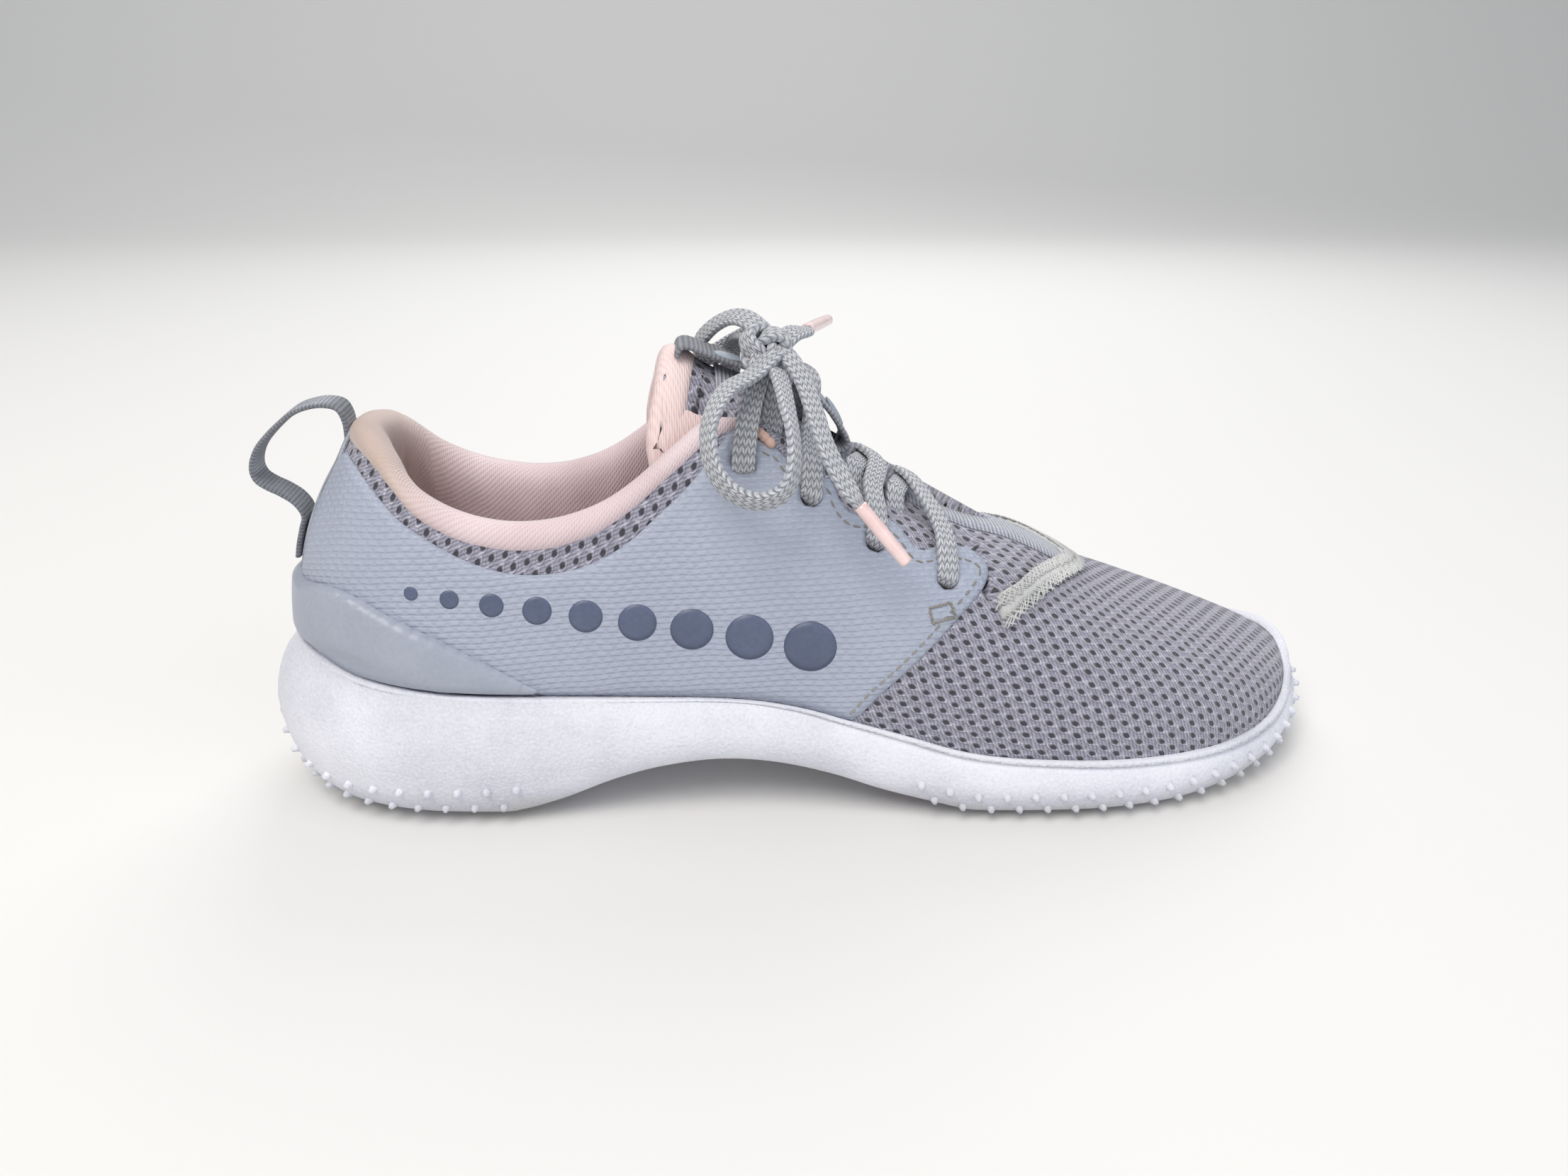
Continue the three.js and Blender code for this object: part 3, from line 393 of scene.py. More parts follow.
def grosgrain(name, settings):
    # ribbed ribbon: cross ribs at the real pitch, uv v runs along the ribbon in metres
    m, tree, bsdf = newMaterial(name, settings["base"], 0.66, {"Sheen Weight": 0.3})
    uv, u, v = clothCoords(tree)
    obj = add(tree, "ShaderNodeTexCoord").outputs["Object"]
    ribs = math2(tree, "SINE", math2(tree, "MULTIPLY", v, 2 * math.pi / settings["rib"]))
    ribs = math2(tree, "MULTIPLY_ADD", ribs, 0.5, 0.5)
    yarn = math2(tree, "MULTIPLY_ADD", math2(tree, "SINE", math2(tree, "MULTIPLY", u,
        2 * math.pi / 0.0011)), 0.5, 0.5)
    fleck = noise(tree, obj, 800.0, 2.0)
    tone = mixed(tree, (ribs, 0.5), (fleck, 0.5))
    colourFrom(tree, bsdf, tone, [(0.15, settings["shade"]), (0.5, settings["base"]),
                                  (0.85, settings["light"])])
    bumpFrom(tree, bsdf, mixed(tree, (ribs, 1), (yarn, 0.25)), 0.00035, 0.9)
    return m


def braid(name, settings):
    # flat cotton and polyester braid: herringbone of plaits, u across 0..1, v along in metres
    m, tree, bsdf = newMaterial(name, settings["base"], 0.82, {"Sheen Weight": 0.3})
    uv, u, v = clothCoords(tree)
    obj = add(tree, "ShaderNodeTexCoord").outputs["Object"]
    lanes = math2(tree, "MULTIPLY", u, settings["lanes"])
    along = mixed(tree, (math2(tree, "DIVIDE", v, settings["plait"]), 1), (fromMiddle(tree, lanes), 1.1))
    plait = math2(tree, "ABSOLUTE", math2(tree, "SINE", math2(tree, "MULTIPLY", along, math.pi)))
    lane = math2(tree, "ABSOLUTE", math2(tree, "SINE", math2(tree, "MULTIPLY", lanes, 2 * math.pi)))
    height = math2(tree, "MULTIPLY", math2(tree, "POWER", plait, 0.6),
                   math2(tree, "MULTIPLY_ADD", lane, 0.45, 0.55))
    fleck = noise(tree, obj, 1300.0, 2.0)
    tone = mixed(tree, (height, 0.55), (fleck, 0.5))
    colourFrom(tree, bsdf, tone, [(0.15, settings["shade"]), (0.5, settings["base"]),
                                  (0.8, settings["light"])])
    bumpFrom(tree, bsdf, height, 0.0005, 0.9)
    return m


material = {
    # the spacer mesh's darkest colour is painted shade inside its holes
    "vampMesh": spacerMesh("Polyester spacer mesh", {"yarn": "#9796a6", "light": "#d3d2df",
                                                     "shade": "#6f6d7c", "paintedHoleShade": "#3a3843",
                                                     "holePitch": 0.0040, "rowPitch": 0.0026, "holeU": 0.24,
                                                     "holeV": 0.23, "strand": 520.0}),
    "film": weldedFilm("Embossed TPU film", {"base": "#a8afbf", "light": "#b7bdcb", "shade": "#959cad",
                                             "dashPitch": 0.0031, "rowPitch": 0.00145, "dashU": 0.42,
                                             "dashV": 0.36}),
    "clip": plainPlastic("Moulded TPU clip", "#a0a6b4", "#aab0bd", "#959baa", 0.36, 900.0, 0.00004,
                         {"Specular IOR Level": 0.5}),
    "foam": pebbledFoam("Moulded EVA foam", {"base": "#e2e3eb", "light": "#f0f0f5", "shade": "#cecfd9",
                                             "dullTint": "#b1b0ab", "pebbles": 1150.0}),
    "lining": satinLining("Polyester jersey lining", {"base": "#dfcbce", "light": "#ebdbde",
                                                      "shade": "#c6b0b3", "dullTint": "#b7a08c", "twill": 420.0,
                                                      "soiling": 0.8}),
    "tongueSatin": satinLining("Satin tongue lining", {"base": "#ebd3d0", "light": "#f6e2df",
                                                       "shade": "#d6b9b5", "dullTint": "#b7a08c",
                                                       "twill": 380.0, "soiling": 0.0}),
    "ribbon": grosgrain("Grosgrain ribbon", {"base": "#a9acb8", "light": "#cdd0da", "shade": "#7f8290",
                                             "rib": 0.0011}),
    "loopRibbon": grosgrain("Grosgrain pull ribbon", {"base": "#9da2ad", "light": "#bcc1cb",
                                                      "shade": "#747986", "rib": 0.0009}),
    "lace": braid("Flat braided lace", {"base": "#a0a3aa", "light": "#d3d5da", "shade": "#6d7078",
                                        "lanes": 4.0, "plait": 0.0019}),
    "aglet": plainPlastic("Acetate aglet film", "#edd0cd", "#f7e2df", "#dcb9b5", 0.22, 300.0, 0.00002,
                          {"Coat Weight": 0.5, "Coat Roughness": 0.1}),
    "rubber": plainPlastic("Coral rubber", "#e08d83", "#e99b91", "#c97a72", 0.58, 700.0, 0.00006),
    "board": plainPlastic("Cellulose lasting board", "#cfcabd", "#dad5c9", "#bdb7a8", 0.9, 500.0, 0.0001),
    "print": plainPlastic("Slate ink print", "#566079", "#5f6a84", "#4d566d", 0.4, 900.0, 0.00003),
    "thread": plainPlastic("Bonded polyester thread", "#8f8a84", "#a39d96", "#76716c", 0.7, 2500.0,
                           0.00004),
    "paleThread": plainPlastic("Cover-stitch thread", "#c6c7c6", "#d8d8d6", "#a3a4a3", 0.7, 2500.0,
                               0.00004),
    "pinkThread": plainPlastic("Pink bartack thread", "#d9b7a9", "#e8cabc", "#bd9585", 0.75, 2500.0,
                               0.00006),
    "pad": plainPlastic("Moulded rubber pad", "#9aa4b0", "#a5afba", "#8e98a4", 0.42, 900.0, 0.00003),
}
print("stage: materials")


def inFrame(points):
    return (np.asarray(points, float) + frameShift) / 1000


def makePiece(name, points, faces, mat, uv=None, smooth=True):
    # points in millimetres, faces as lists of corner numbers, uv in metres per point
    me = bpy.data.meshes.new(name)
    me.from_pydata(inFrame(points).tolist(), [], [list(map(int, f)) for f in faces])
    me.update()
    if uv is not None:
        layer = me.uv_layers.new(name="cloth")
        corner = np.zeros(len(me.loops), np.int32)
        me.loops.foreach_get("vertex_index", corner)
        layer.data.foreach_set("uv", np.asarray(uv, float)[corner].ravel())
    bm = bmesh.new()
    bm.from_mesh(me)
    bmesh.ops.recalc_face_normals(bm, faces=bm.faces)
    bm.to_mesh(me)
    bm.free()
    if smooth:
        me.polygons.foreach_set("use_smooth", [True] * len(me.polygons))
    obj = bpy.data.objects.new(name, me)
    bpy.context.scene.collection.objects.link(obj)
    me.materials.append(mat)
    pieces[name] = obj
    return obj


def gridFaces(rows, columns, closed=False):
    span = columns if closed else columns - 1
    return [(r * columns + c, r * columns + (c + 1) % columns, (r + 1) * columns + (c + 1) % columns,
             (r + 1) * columns + c)
            for r in range(rows - 1) for c in range(span)]


def endCaps(rows, columns):
    # the two faces that close a tube of rings
    return [tuple(range(columns))[::-1], tuple((rows - 1) * columns + i for i in range(columns))]


def acrossRing(xs):
    # triangles over a ring that starts at the heel and turns back at the toe
    n, toeAt = len(xs), int(np.argmax(xs))
    corners, i, j = [], 0, n
    while i < toeAt or j > toeAt:
        onFirstSide = j == toeAt or (i < toeAt and xs[i + 1] < xs[(j - 1) % n])
        corner = (i, i + 1, j % n) if onFirstSide else (i, j - 1, j % n)
        i, j = (i + 1, j) if onFirstSide else (i, j - 1)
        if len(set(corner)) == 3:
            corners.append(corner)
    return corners


def flatSection(corner, count=16):
    # section of a flat cord, one unit wide and high on each side of its middle
    a = np.arange(count) / count * 2 * np.pi
    across = np.sign(np.cos(a)) * np.abs(np.cos(a)) ** corner
    up = np.sign(np.sin(a)) * np.abs(np.sin(a)) ** 0.8
    return across, up


def ribbonTube(name, line, up, width, thick, mat, steps=90, corner=0.5, taper=(1, 1)):
    # flat cord along a line, up being the face direction at each given point
    line, up = np.asarray(line, float), np.asarray(up, float)
    s = np.linspace(0, 1, steps)
    centre = splineThrough(line, s)
    face = unit(splineThrough(up, s))
    tangent = unit(np.gradient(centre, axis=0))
    face = unit(face - (face * tangent).sum(-1, keepdims=True) * tangent)
    side = np.cross(tangent, face)
    length = runLength(centre)
    ex, ez = flatSection(corner)
    ring = len(ex)
    grow = np.interp(s, [0, 0.5, 1], [taper[0], 1, taper[1]])[:, None]
    w = np.broadcast_to(np.asarray(width, float), (steps,)) if np.ndim(width) else np.full(steps, width)
    h = np.broadcast_to(np.asarray(thick, float), (steps,)) if np.ndim(thick) else np.full(steps, thick)
    pts = (centre[:, None] + side[:, None] * (ex * w[:, None] / 2)[..., None] * grow[..., None]
           + face[:, None] * (ez * h[:, None] / 2)[..., None] * grow[..., None]).reshape(-1, 3)
    faces = gridFaces(steps, ring, True) + endCaps(steps, ring)
    uv = np.stack([np.tile(0.5 + ex / 2, steps), np.repeat(length, ring) / 1000], -1)
    return makePiece(name, pts, faces, mat, uv), centre


# the upper's surface as one fine grid, cut into panels by scalar fields
upperGrid = {"around": 440, "up": 66, "top": 1.552}
tGrid = np.arange(upperGrid["around"]) / upperGrid["around"]
aGrid = upperGrid["top"] * (np.linspace(0, 1, upperGrid["up"]) ** 0.93)
aGrid[0] = 0.004
turnGrid, angleGrid = np.meshgrid(tGrid, aGrid, indexing="ij")
base = lastPoint(turnGrid, angleGrid)
normal = lastNormal(turnGrid, angleGrid)
skirtDepth = 5.0
skirt = base[:, :1].copy()
skirt[..., 2] -= skirtDepth
base = np.concatenate([skirt, base], 1)
normal = np.concatenate([normal[:, :1], normal], 1)
rows, cols = base.shape[0], base.shape[1]
basePoints, baseNormals = base.reshape(-1, 3), normal.reshape(-1, 3)
quads = [(i * cols + j, ((i + 1) % rows) * cols + j, ((i + 1) % rows) * cols + j + 1, i * cols + j + 1)
         for i in range(rows) for j in range(cols - 1)]
triangles = np.array([(a, b, c) for a, b, c, d in quads] + [(a, c, d) for a, b, c, d in quads])
top = np.arange(rows) * cols + cols - 1
crownFaces = top[np.array(acrossRing(basePoints[top, 0]))]
triangles = np.vstack([triangles, crownFaces])


def insideShape(px, py, corners):
    # signed distance in millimetres, positive inside a closed outline
    c = np.asarray(corners, float)
    inside = np.zeros(px.shape, bool)
    best = np.full(px.shape, 1e9)
    for (x1, y1), (x2, y2) in zip(c, np.roll(c, -1, axis=0)):
        dx, dy = x2 - x1, y2 - y1
        u = np.clip(((px - x1) * dx + (py - y1) * dy) / max(dx * dx + dy * dy, 1e-9), 0, 1)
        best = np.minimum(best, np.hypot(px - x1 - u * dx, py - y1 - u * dy))
        if y1 != y2:
            cross = (y1 > py) != (y2 > py)
            inside ^= cross & (px < x1 + (py - y1) * dx / dy)
    return np.where(inside, best, -best)


def belowLine(px, pz, line, dz=0.0):
    # signed distance under a side-view line that runs by growing x
    c = np.asarray(line, float)
    best = np.full(px.shape, 1e9)
    for (x1, z1), (x2, z2) in zip(c[:-1], c[1:]):
        dx, dz2 = x2 - x1, z2 - z1
        u = np.clip(((px - x1) * dx + (pz - z1 - dz) * dz2) / (dx * dx + dz2 * dz2), 0, 1)
        best = np.minimum(best, np.hypot(px - x1 - u * dx, pz - z1 - dz - u * dz2))
    level = np.interp(px, c[:, 0], c[:, 1]) + dz
    return np.where(pz < level, best, -best)


def unwrapped(points, faces):
    # flat cloth coordinates in metres for an open patch, by Blender's angle-based unwrap, u along +X
    me = bpy.data.meshes.new("patch")
    me.from_pydata((np.asarray(points) / 1000).tolist(), [], faces.tolist())
    obj = bpy.data.objects.new("patch", me)
    bpy.context.scene.collection.objects.link(obj)
    me.uv_layers.new(name="cloth")
    bpy.context.view_layer.objects.active = obj
    obj.select_set(True)
    bpy.ops.object.mode_set(mode="EDIT")
    bpy.ops.mesh.select_all(action="SELECT")
    bpy.ops.uv.unwrap(method="ANGLE_BASED", margin=0.0)
    bpy.ops.object.mode_set(mode="OBJECT")
    corner = np.zeros(len(me.loops), np.int32)
    me.loops.foreach_get("vertex_index", corner)
    flat = np.zeros(len(me.loops) * 2)
    me.uv_layers[0].data.foreach_get("uv", flat)
    uv = np.zeros((len(points), 2))
    uv[corner] = flat.reshape(-1, 2)
    bpy.data.objects.remove(obj)
    p = np.asarray(points)[faces] / 1000
    q = uv[faces]
    area = np.linalg.norm(np.cross(p[:, 1] - p[:, 0], p[:, 2] - p[:, 0]), axis=1)
    e1, e2 = q[:, 1] - q[:, 0], q[:, 2] - q[:, 0]
    flatArea = e1[:, 0] * e2[:, 1] - e1[:, 1] * e2[:, 0]
    uv *= math.sqrt(area.sum() / max(abs(flatArea).sum(), 1e-12))
    if flatArea.sum() < 0:
        uv[:, 1] *= -1
    x = np.asarray(points)[:, 0] / 1000
    u0 = uv - uv.mean(0)
    g = np.linalg.lstsq(u0, x - x.mean(), rcond=None)[0]
    g = g / max(np.linalg.norm(g), 1e-9)
    return np.stack([u0 @ g, u0 @ np.array([-g[1], g[0]])], -1) + 1.0


def panel(name, field, mat):
    # Layer of the upper where field > 0, between two offsets from the last, thinning out at its edge.
    low, high, edge = layers[name]
    offset = high if callable(high) else (lambda p: np.full(len(p), float(high)))
    outer = basePoints + baseNormals * offset(basePoints)[:, None]
    f = field(outer)
    ft = f[triangles]
    count = (ft > 0).sum(1)
    keep = triangles[count == 3].tolist()
    made, extraP, extraN, extraF = {}, [], [], []
    start = len(basePoints)

    def cut(a, b):
        key = (min(a, b), max(a, b))
        if key not in made:
            k = np.clip(f[key[0]] / (f[key[0]] - f[key[1]]), 0.02, 0.98)
            extraP.append(basePoints[key[0]] * (1 - k) + basePoints[key[1]] * k)
            extraN.append(unit(baseNormals[key[0]] * (1 - k) + baseNormals[key[1]] * k))
            extraF.append(0.0)
            made[key] = start + len(extraP) - 1
        return made[key]

    for tri in triangles[(count > 0) & (count < 3)]:
        loop = []
        for a, b in zip(tri, np.roll(tri, -1)):
            if f[a] > 0:
                loop.append(int(a))
            if (f[a] > 0) != (f[b] > 0):
                loop.append(cut(int(a), int(b)))
        keep += [[loop[0], loop[k], loop[k + 1]] for k in range(1, len(loop) - 1)]
    faces = np.array(keep)
    p = np.vstack([basePoints, np.array(extraP).reshape(-1, 3)])
    n = np.vstack([baseNormals, np.array(extraN).reshape(-1, 3)])
    d = np.concatenate([f, extraF])
    used, faces = np.unique(faces, return_inverse=True)
    faces = faces.reshape(-1, 3)
    p, n, d = p[used], n[used], np.maximum(d[used], 0)
    full = offset(p)
    share = np.clip(d / edge, 0, 1)
    thin = 0.15 + 0.85 * np.sqrt(np.maximum(0, 1 - (1 - share) ** 2))
    lift = low + (full - low) * thin
    uv = unwrapped(p, faces)
    outside, inside = p + n * lift[:, None], p + n * low
    m = len(p)
    edges = {}
    for a, b, c in faces:
        for e in ((a, b), (b, c), (c, a)):
            edges[e] = True
    rim = [(a, b) for a, b in edges if (b, a) not in edges]
    allFaces = faces.tolist() + (faces[:, ::-1] + m).tolist() + [[b, a, a + m, b + m] for a, b in rim]
    return makePiece(name, np.vstack([outside, inside]), allFaces, mat, np.vstack([uv, uv]))


outline = {
    "collar": [(-150, 92.5), (-108, 92), (-104, 89.2), (-100, 84.8), (-96, 80.6), (-91, 77.4), (-85, 74.8),
               (-79, 73.3), (-73, 72.6), (-66, 72.9), (-60, 74.2), (-53, 77), (-46, 81.6), (-40, 86.6),
               (-35, 90.6), (-31, 93.8), (-27, 95.8), (-20, 96.4), (-8, 97)],
    "clipTop": [(-150, 55.5), (-128, 56.5), (-120, 58), (-113, 57.4), (-106, 54.6), (-99, 51.4), (-92, 48),
                (-85, 44), (-78, 39.8), (-71, 35.4), (-66, 32)],
    "film": [(-150, 10), (-150, 76), (-126, 78), (-113, 86.5), (-109, 84), (-103.7, 79), (-99, 74.6),
             (-92.6, 70.4), (-86.5, 66.9), (-80, 64.3), (-73.8, 62.7), (-67, 62.4), (-60.5, 63.3),
             (-53.8, 65.6), (-47, 69.9), (-40, 76), (-33.4, 82), (-26.4, 90), (-22.5, 93.6), (-15.5, 90.6),
             (-11.8, 88.6), (-8, 83.8), (-4.6, 82.6), (0.8, 80.6), (2.4, 76.6), (4.6, 73.9), (12.5, 72.2),
             (16.4, 70.2), (19, 67.2), (21, 64.8), (26.5, 64.6), (33, 63.4), (37, 61.6), (38.9, 59.4),
             (37.8, 56.8), (29.3, 50.2), (22.6, 44), (16, 37.5), (10, 31.6), (4.9, 25.2), (1, 10)],
    "throatHalf": [(68, 0), (65, 7), (59, 16), (50.5, 23.5), (43, 28.6), (37, 29), (34.5, 16), (5, 15.5),
                   (-20, 15), (-34, 17), (-70, 24)],
    "seamOuter": [(71.5, 0), (69.5, 6), (62.5, 15.5), (53, 25), (44.5, 31.4), (40, 34)],
    "seamInner": [(40, 29), (46.5, 25), (54, 17), (60, 9.5), (64, 3), (65, 0)],
    "eyelets": [(27.3, 28), (10.1, 26), (-5.3, 23.6), (-20.8, 23.2)],
    "meshHole": 2.4, "filmHole": 2.6,
}


def mirrored(half):
    y = last["throatY"]
    return [(x, y - s) for x, s in half] + [(x, y + s) for x, s in half[::-1] if s != 0]


def rounded(corners, steps=5, closed=True):
    n = len(corners)
    return splineThrough(corners, np.arange(n * steps) / (n * steps) if closed
                         else np.linspace(0, 1, n * steps), closed)


filmOutline = np.vstack([outline["film"][:3], rounded(outline["film"][3:-1], 4, False),
                         outline["film"][-1:]])
collarLine = rounded(outline["collar"], 4, False)
clipLine = np.vstack([rounded(outline["clipTop"], 4, False), [(-62, 22), (-58, -40)]])
throatOutline = mirrored(rounded(outline["throatHalf"][:6], 4, False).tolist() + outline["throatHalf"][6:])
eyeletSpots = [(x, last["throatY"] + side * span) for side in (-1, 1) for x, span in outline["eyelets"]]


def awayFromEyelets(p, radius):
    d = np.full(len(p), 1e9)
    for x, y in eyeletSpots:
        n = normalOn(x, y)
        c = np.array([x, y, float(heightOn(x, y))])
        r = p - c
        along = r @ n
        away = np.linalg.norm(r - along[:, None] * n, axis=1) - radius
        d = np.where(np.abs(along) < 12, np.minimum(d, away), d)
    return d


def aboveSole(p, gap):
    return p[:, 2] - soleTop(p[:, 0]) - gap


def meshField(p):
    return np.minimum.reduce([belowLine(p[:, 0], p[:, 2], collarLine, -1.0),
                              -insideShape(p[:, 0], p[:, 1], throatOutline), aboveSole(p, -3.0),
                              awayFromEyelets(p, outline["meshHole"])])


def vampField(p):
    return np.minimum(meshField(p), p[:, 0] - 2.2)


def collarField(p):
    return np.minimum(meshField(p), 2.0 - p[:, 0])


def clipField(p):
    return np.minimum(belowLine(p[:, 0], p[:, 2], clipLine), -26 - p[:, 0])


def filmField(p):
    return np.minimum.reduce([insideShape(p[:, 0], p[:, 2], filmOutline), aboveSole(p, 0.15),
                              awayFromEyelets(p, outline["filmHole"]),
                              -belowLine(p[:, 0], p[:, 2], clipLine, -1.8), np.abs(p[:, 1]) - 5.4])


def seamField(p):
    plan = insideShape(p[:, 0], p[:, 1], mirrored(outline["seamOuter"] + outline["seamInner"]))
    return np.minimum(plan, p[:, 0] - 39.5)


clipCrease = [(-150, 43), (-127, 43.4), (-113, 44.3), (-102.5, 40.5), (-94.4, 37.3), (-89.4, 34.4),
              (-60, 20)]


def clipThickness(p):
    under = np.maximum(0, belowLine(p[:, 0], p[:, 2], clipCrease))
    return 3.0 - 1.6 * smooth(-100, -66, p[:, 0]) - 0.42 * np.minimum(under, 3.6)


def tapeField(p):
    return np.minimum.reduce([belowLine(p[:, 0], p[:, 2], collarLine, -1.2), 6 - np.abs(p[:, 1]),
                              -104 - p[:, 0], -belowLine(p[:, 0], p[:, 2], clipLine, -1.0)])


def toeGuardField(p):
    rise = 7.5 * smooth(-2, 14, p[:, 1]) * smooth(108, 122, p[:, 0])
    return np.minimum(rise - (p[:, 2] - soleTop(p[:, 0])), aboveSole(p, -2.0))


layers = {  # inner and outer height over the last, then the width over which an edge thins out
    "vampMesh": (-1.4, 0.0, 0.6), "collarMesh": (-1.4, 0.0, 0.6), "filmLateral": (0.05, 0.85, 1.4),
    "filmMedial": (0.05, 0.85, 1.4), "heelClip": (0.1, clipThickness, 1.2), "heelTape": (0.05, 1.1, 0.8),
    "throatSeam": (0.05, 1.0, 1.4), "toeGuard": (0.1, 2.6, 1.6), "vampLining": (-3.9, -2.9, 0.8),
}
panel("vampMesh", vampField, material["vampMesh"])
panel("collarMesh", collarField, material["vampMesh"])
panel("filmLateral", lambda p: np.minimum(filmField(p), -p[:, 1] - 0.1), material["film"])
panel("filmMedial", lambda p: np.minimum(filmField(p), p[:, 1] - 0.1), material["film"])
panel("heelClip", lambda p: np.minimum(clipField(p), aboveSole(p, 0.15)), material["clip"])
panel("heelTape", tapeField, material["loopRibbon"])
panel("throatSeam", seamField, material["paleThread"])
panel("toeGuard", toeGuardField, material["foam"])
print("stage: upper panels")

# midsole and its nubs
sole = {"lip": 7.0, "around": 440, "rim": 0.8, "rimInset": 3.35, "footInset": 11,
        "foot": [(0.05, 0.9), (0.3, 0.9), (0.6, 0.9), (0.85, 0.9), (0.97, 0.4)],
        "wall": [(0, 9), (0.05, 4.2), (0.17, 1.5), (0.34, 0.3), (0.52, 0), (0.78, 1.2), (1, 3.4)],
        "shares": [0, 0.02, 0.05, 0.09, 0.13, 0.17, 0.22, 0.28, 0.34, 0.42, 0.5, 0.58, 0.66, 0.74, 0.81,
                   0.87, 0.92, 0.955, 0.98]}
wallCurve = profile(sole["wall"])


def wallInset(x, inset):
    return inset * (1 + 0.9 * smooth(-70, -135, x))


def soleRing(t, inset, height):
    x0 = planPoint(t, 0.0)[:, 0]
    p = planPoint(t, wallInset(x0, inset))
    return np.concatenate([p, height(p[:, 0])[:, None]], 1)


def insetRing(t, share, inset, height):
    edge = planPoint(t, inset(planPoint(t, 0.0)[:, 0]))
    p = spinePoint(edge[:, 0]) * (1 - share) + edge * share
    return np.concatenate([p, height(p[:, 0])[:, None]], 1)


def buildMidsole():
    t = np.arange(sole["around"]) / sole["around"]
    at = lambda share: (lambda x: underside(x) + (soleTop(x) - underside(x)) * share)
    rim = sole["rim"]
    level = lambda lift: (lambda x: underside(x) + lift)
    rings = [insetRing(t, share, lambda x: sole["footInset"] + 0 * x, level(lift)) for share,
             lift in sole["foot"]]
    rings += [soleRing(t, float(wallCurve(s)), at(s)) for s in sole["shares"]]
    for turn in (0.15, 0.4, 0.7, 1.0):
        a = turn * math.pi / 2
        rings.append(soleRing(t, sole["rimInset"] + rim * (1 - math.cos(a)),
                              lambda x, a=a: soleTop(x) - rim * (1 - math.sin(a)) * 0.6))
    inset = lambda x: upperInset(x) - 0.1
    rings += [insetRing(t, 1, inset, soleTop), insetRing(t, 1, inset, lambda x: soleTop(x) - sole["lip"])]
    rings += [insetRing(t, s, inset, lambda x: soleTop(x) - sole["lip"]) for s in (0.6, 0.3, 0.05)]
    pts = np.vstack(rings)
    n = len(t)
    faces = gridFaces(len(rings), n, True)
    for ringStart, flip in ((0, -1), ((len(rings) - 1) * n, 1)):
        for corner in acrossRing(pts[ringStart:ringStart + n, 0]):
            faces.append([k + ringStart for k in corner][::flip])
    return makePiece("midsoleFoam", pts, faces, material["foam"])


buildMidsole()


def instancer(name, kind):
    # one small solid on every point, its Z along the point's face attribute and its X along the run
    tree = bpy.data.node_groups.new(name, "GeometryNodeTree")
    face = tree.interface
    face.new_socket("Geometry", in_out="INPUT", socket_type="NodeSocketGeometry")
    sockets = {}
    for label in ("Length", "Width", "Height"):
        sockets[label] = face.new_socket(label, in_out="INPUT", socket_type="NodeSocketFloat").identifier
    sockets["Material"] = face.new_socket("Material", in_out="INPUT",
                                          socket_type="NodeSocketMaterial").identifier
    face.new_socket("Geometry", in_out="OUTPUT", socket_type="NodeSocketGeometry")
    given = add(tree, "NodeGroupInput")
    if kind == "cone":
        solid = add(tree, "GeometryNodeMeshCone", {"Vertices": 12, "Radius Top": 0.4, "Radius Bottom": 1.0,
                                                   "Depth": 1.0}).outputs[0]
    else:
        solid = add(tree, "GeometryNodeMeshUVSphere", {"Segments": 8, "Rings": 6, "Radius": 0.5}).outputs[0]
    size = add(tree, "ShaderNodeCombineXYZ", links={0: given.outputs["Length"], 1: given.outputs["Width"],
                                                    2: given.outputs["Height"]})
    faceDir = add(tree, "GeometryNodeInputNamedAttribute", {"data_type": "FLOAT_VECTOR",
                                                            "Name": "face"}).outputs[0]
    runDir = add(tree, "GeometryNodeInputNamedAttribute", {"data_type": "FLOAT_VECTOR",
                                                           "Name": "run"}).outputs[0]
    turnZ = add(tree, "FunctionNodeAlignRotationToVector", {"axis": "Z"}, {"Vector": faceDir})
    turnX = add(tree, "FunctionNodeAlignRotationToVector", {"axis": "X", "pivot_axis": "Z"},
                {"Rotation": turnZ.outputs[0], "Vector": runDir})
    points = add(tree, "GeometryNodeInstanceOnPoints", links={"Points": given.outputs["Geometry"],
                                                              "Instance": solid,
                                                              "Rotation": turnX.outputs[0],
                                                              "Scale": size.outputs[0]})
    real = add(tree, "GeometryNodeRealizeInstances", links={0: points.outputs[0]})
    painted = add(tree, "GeometryNodeSetMaterial", links={"Geometry": real.outputs[0],
                                                          "Material": given.outputs["Material"]})
    add(tree, "NodeGroupOutput", links={0: painted.outputs[0]})
    return tree, sockets


instancers = {"cone": instancer("Nubs on points", "cone"), "stitch": instancer("Stitches on points",
    "stitch")}


def repeated(name, kind, points, faceDirs, runDirs, size, mat):
    # One small solid per point, made by the node group and kept as a plain mesh. size in millimetres.
    me = bpy.data.meshes.new(name + "Points")
    me.from_pydata(inFrame(points).tolist(), [], [])
    for label, values in (("face", faceDirs), ("run", runDirs)):
        me.attributes.new(label, "FLOAT_VECTOR", "POINT").data.foreach_set("vector",
            np.asarray(values, float).ravel())
    obj = bpy.data.objects.new(name, me)
    bpy.context.scene.collection.objects.link(obj)
    tree, sockets = instancers[kind]
    mod = obj.modifiers.new("Repeat", "NODES")
    mod.node_group = tree
    for label, value in zip(("Length", "Width", "Height"), size):
        mod[sockets[label]] = value / 1000
    mod[sockets["Material"]] = mat
    bpy.context.view_layer.update()
    plain = bpy.data.meshes.new_from_object(obj.evaluated_get(bpy.context.evaluated_depsgraph_get()))
    obj.modifiers.clear()
    obj.data = plain
    plain.name = name
    plain.polygons.foreach_set("use_smooth", [True] * len(plain.polygons))
    if not plain.materials:
        plain.materials.append(mat)
    pieces[name] = obj
    return obj


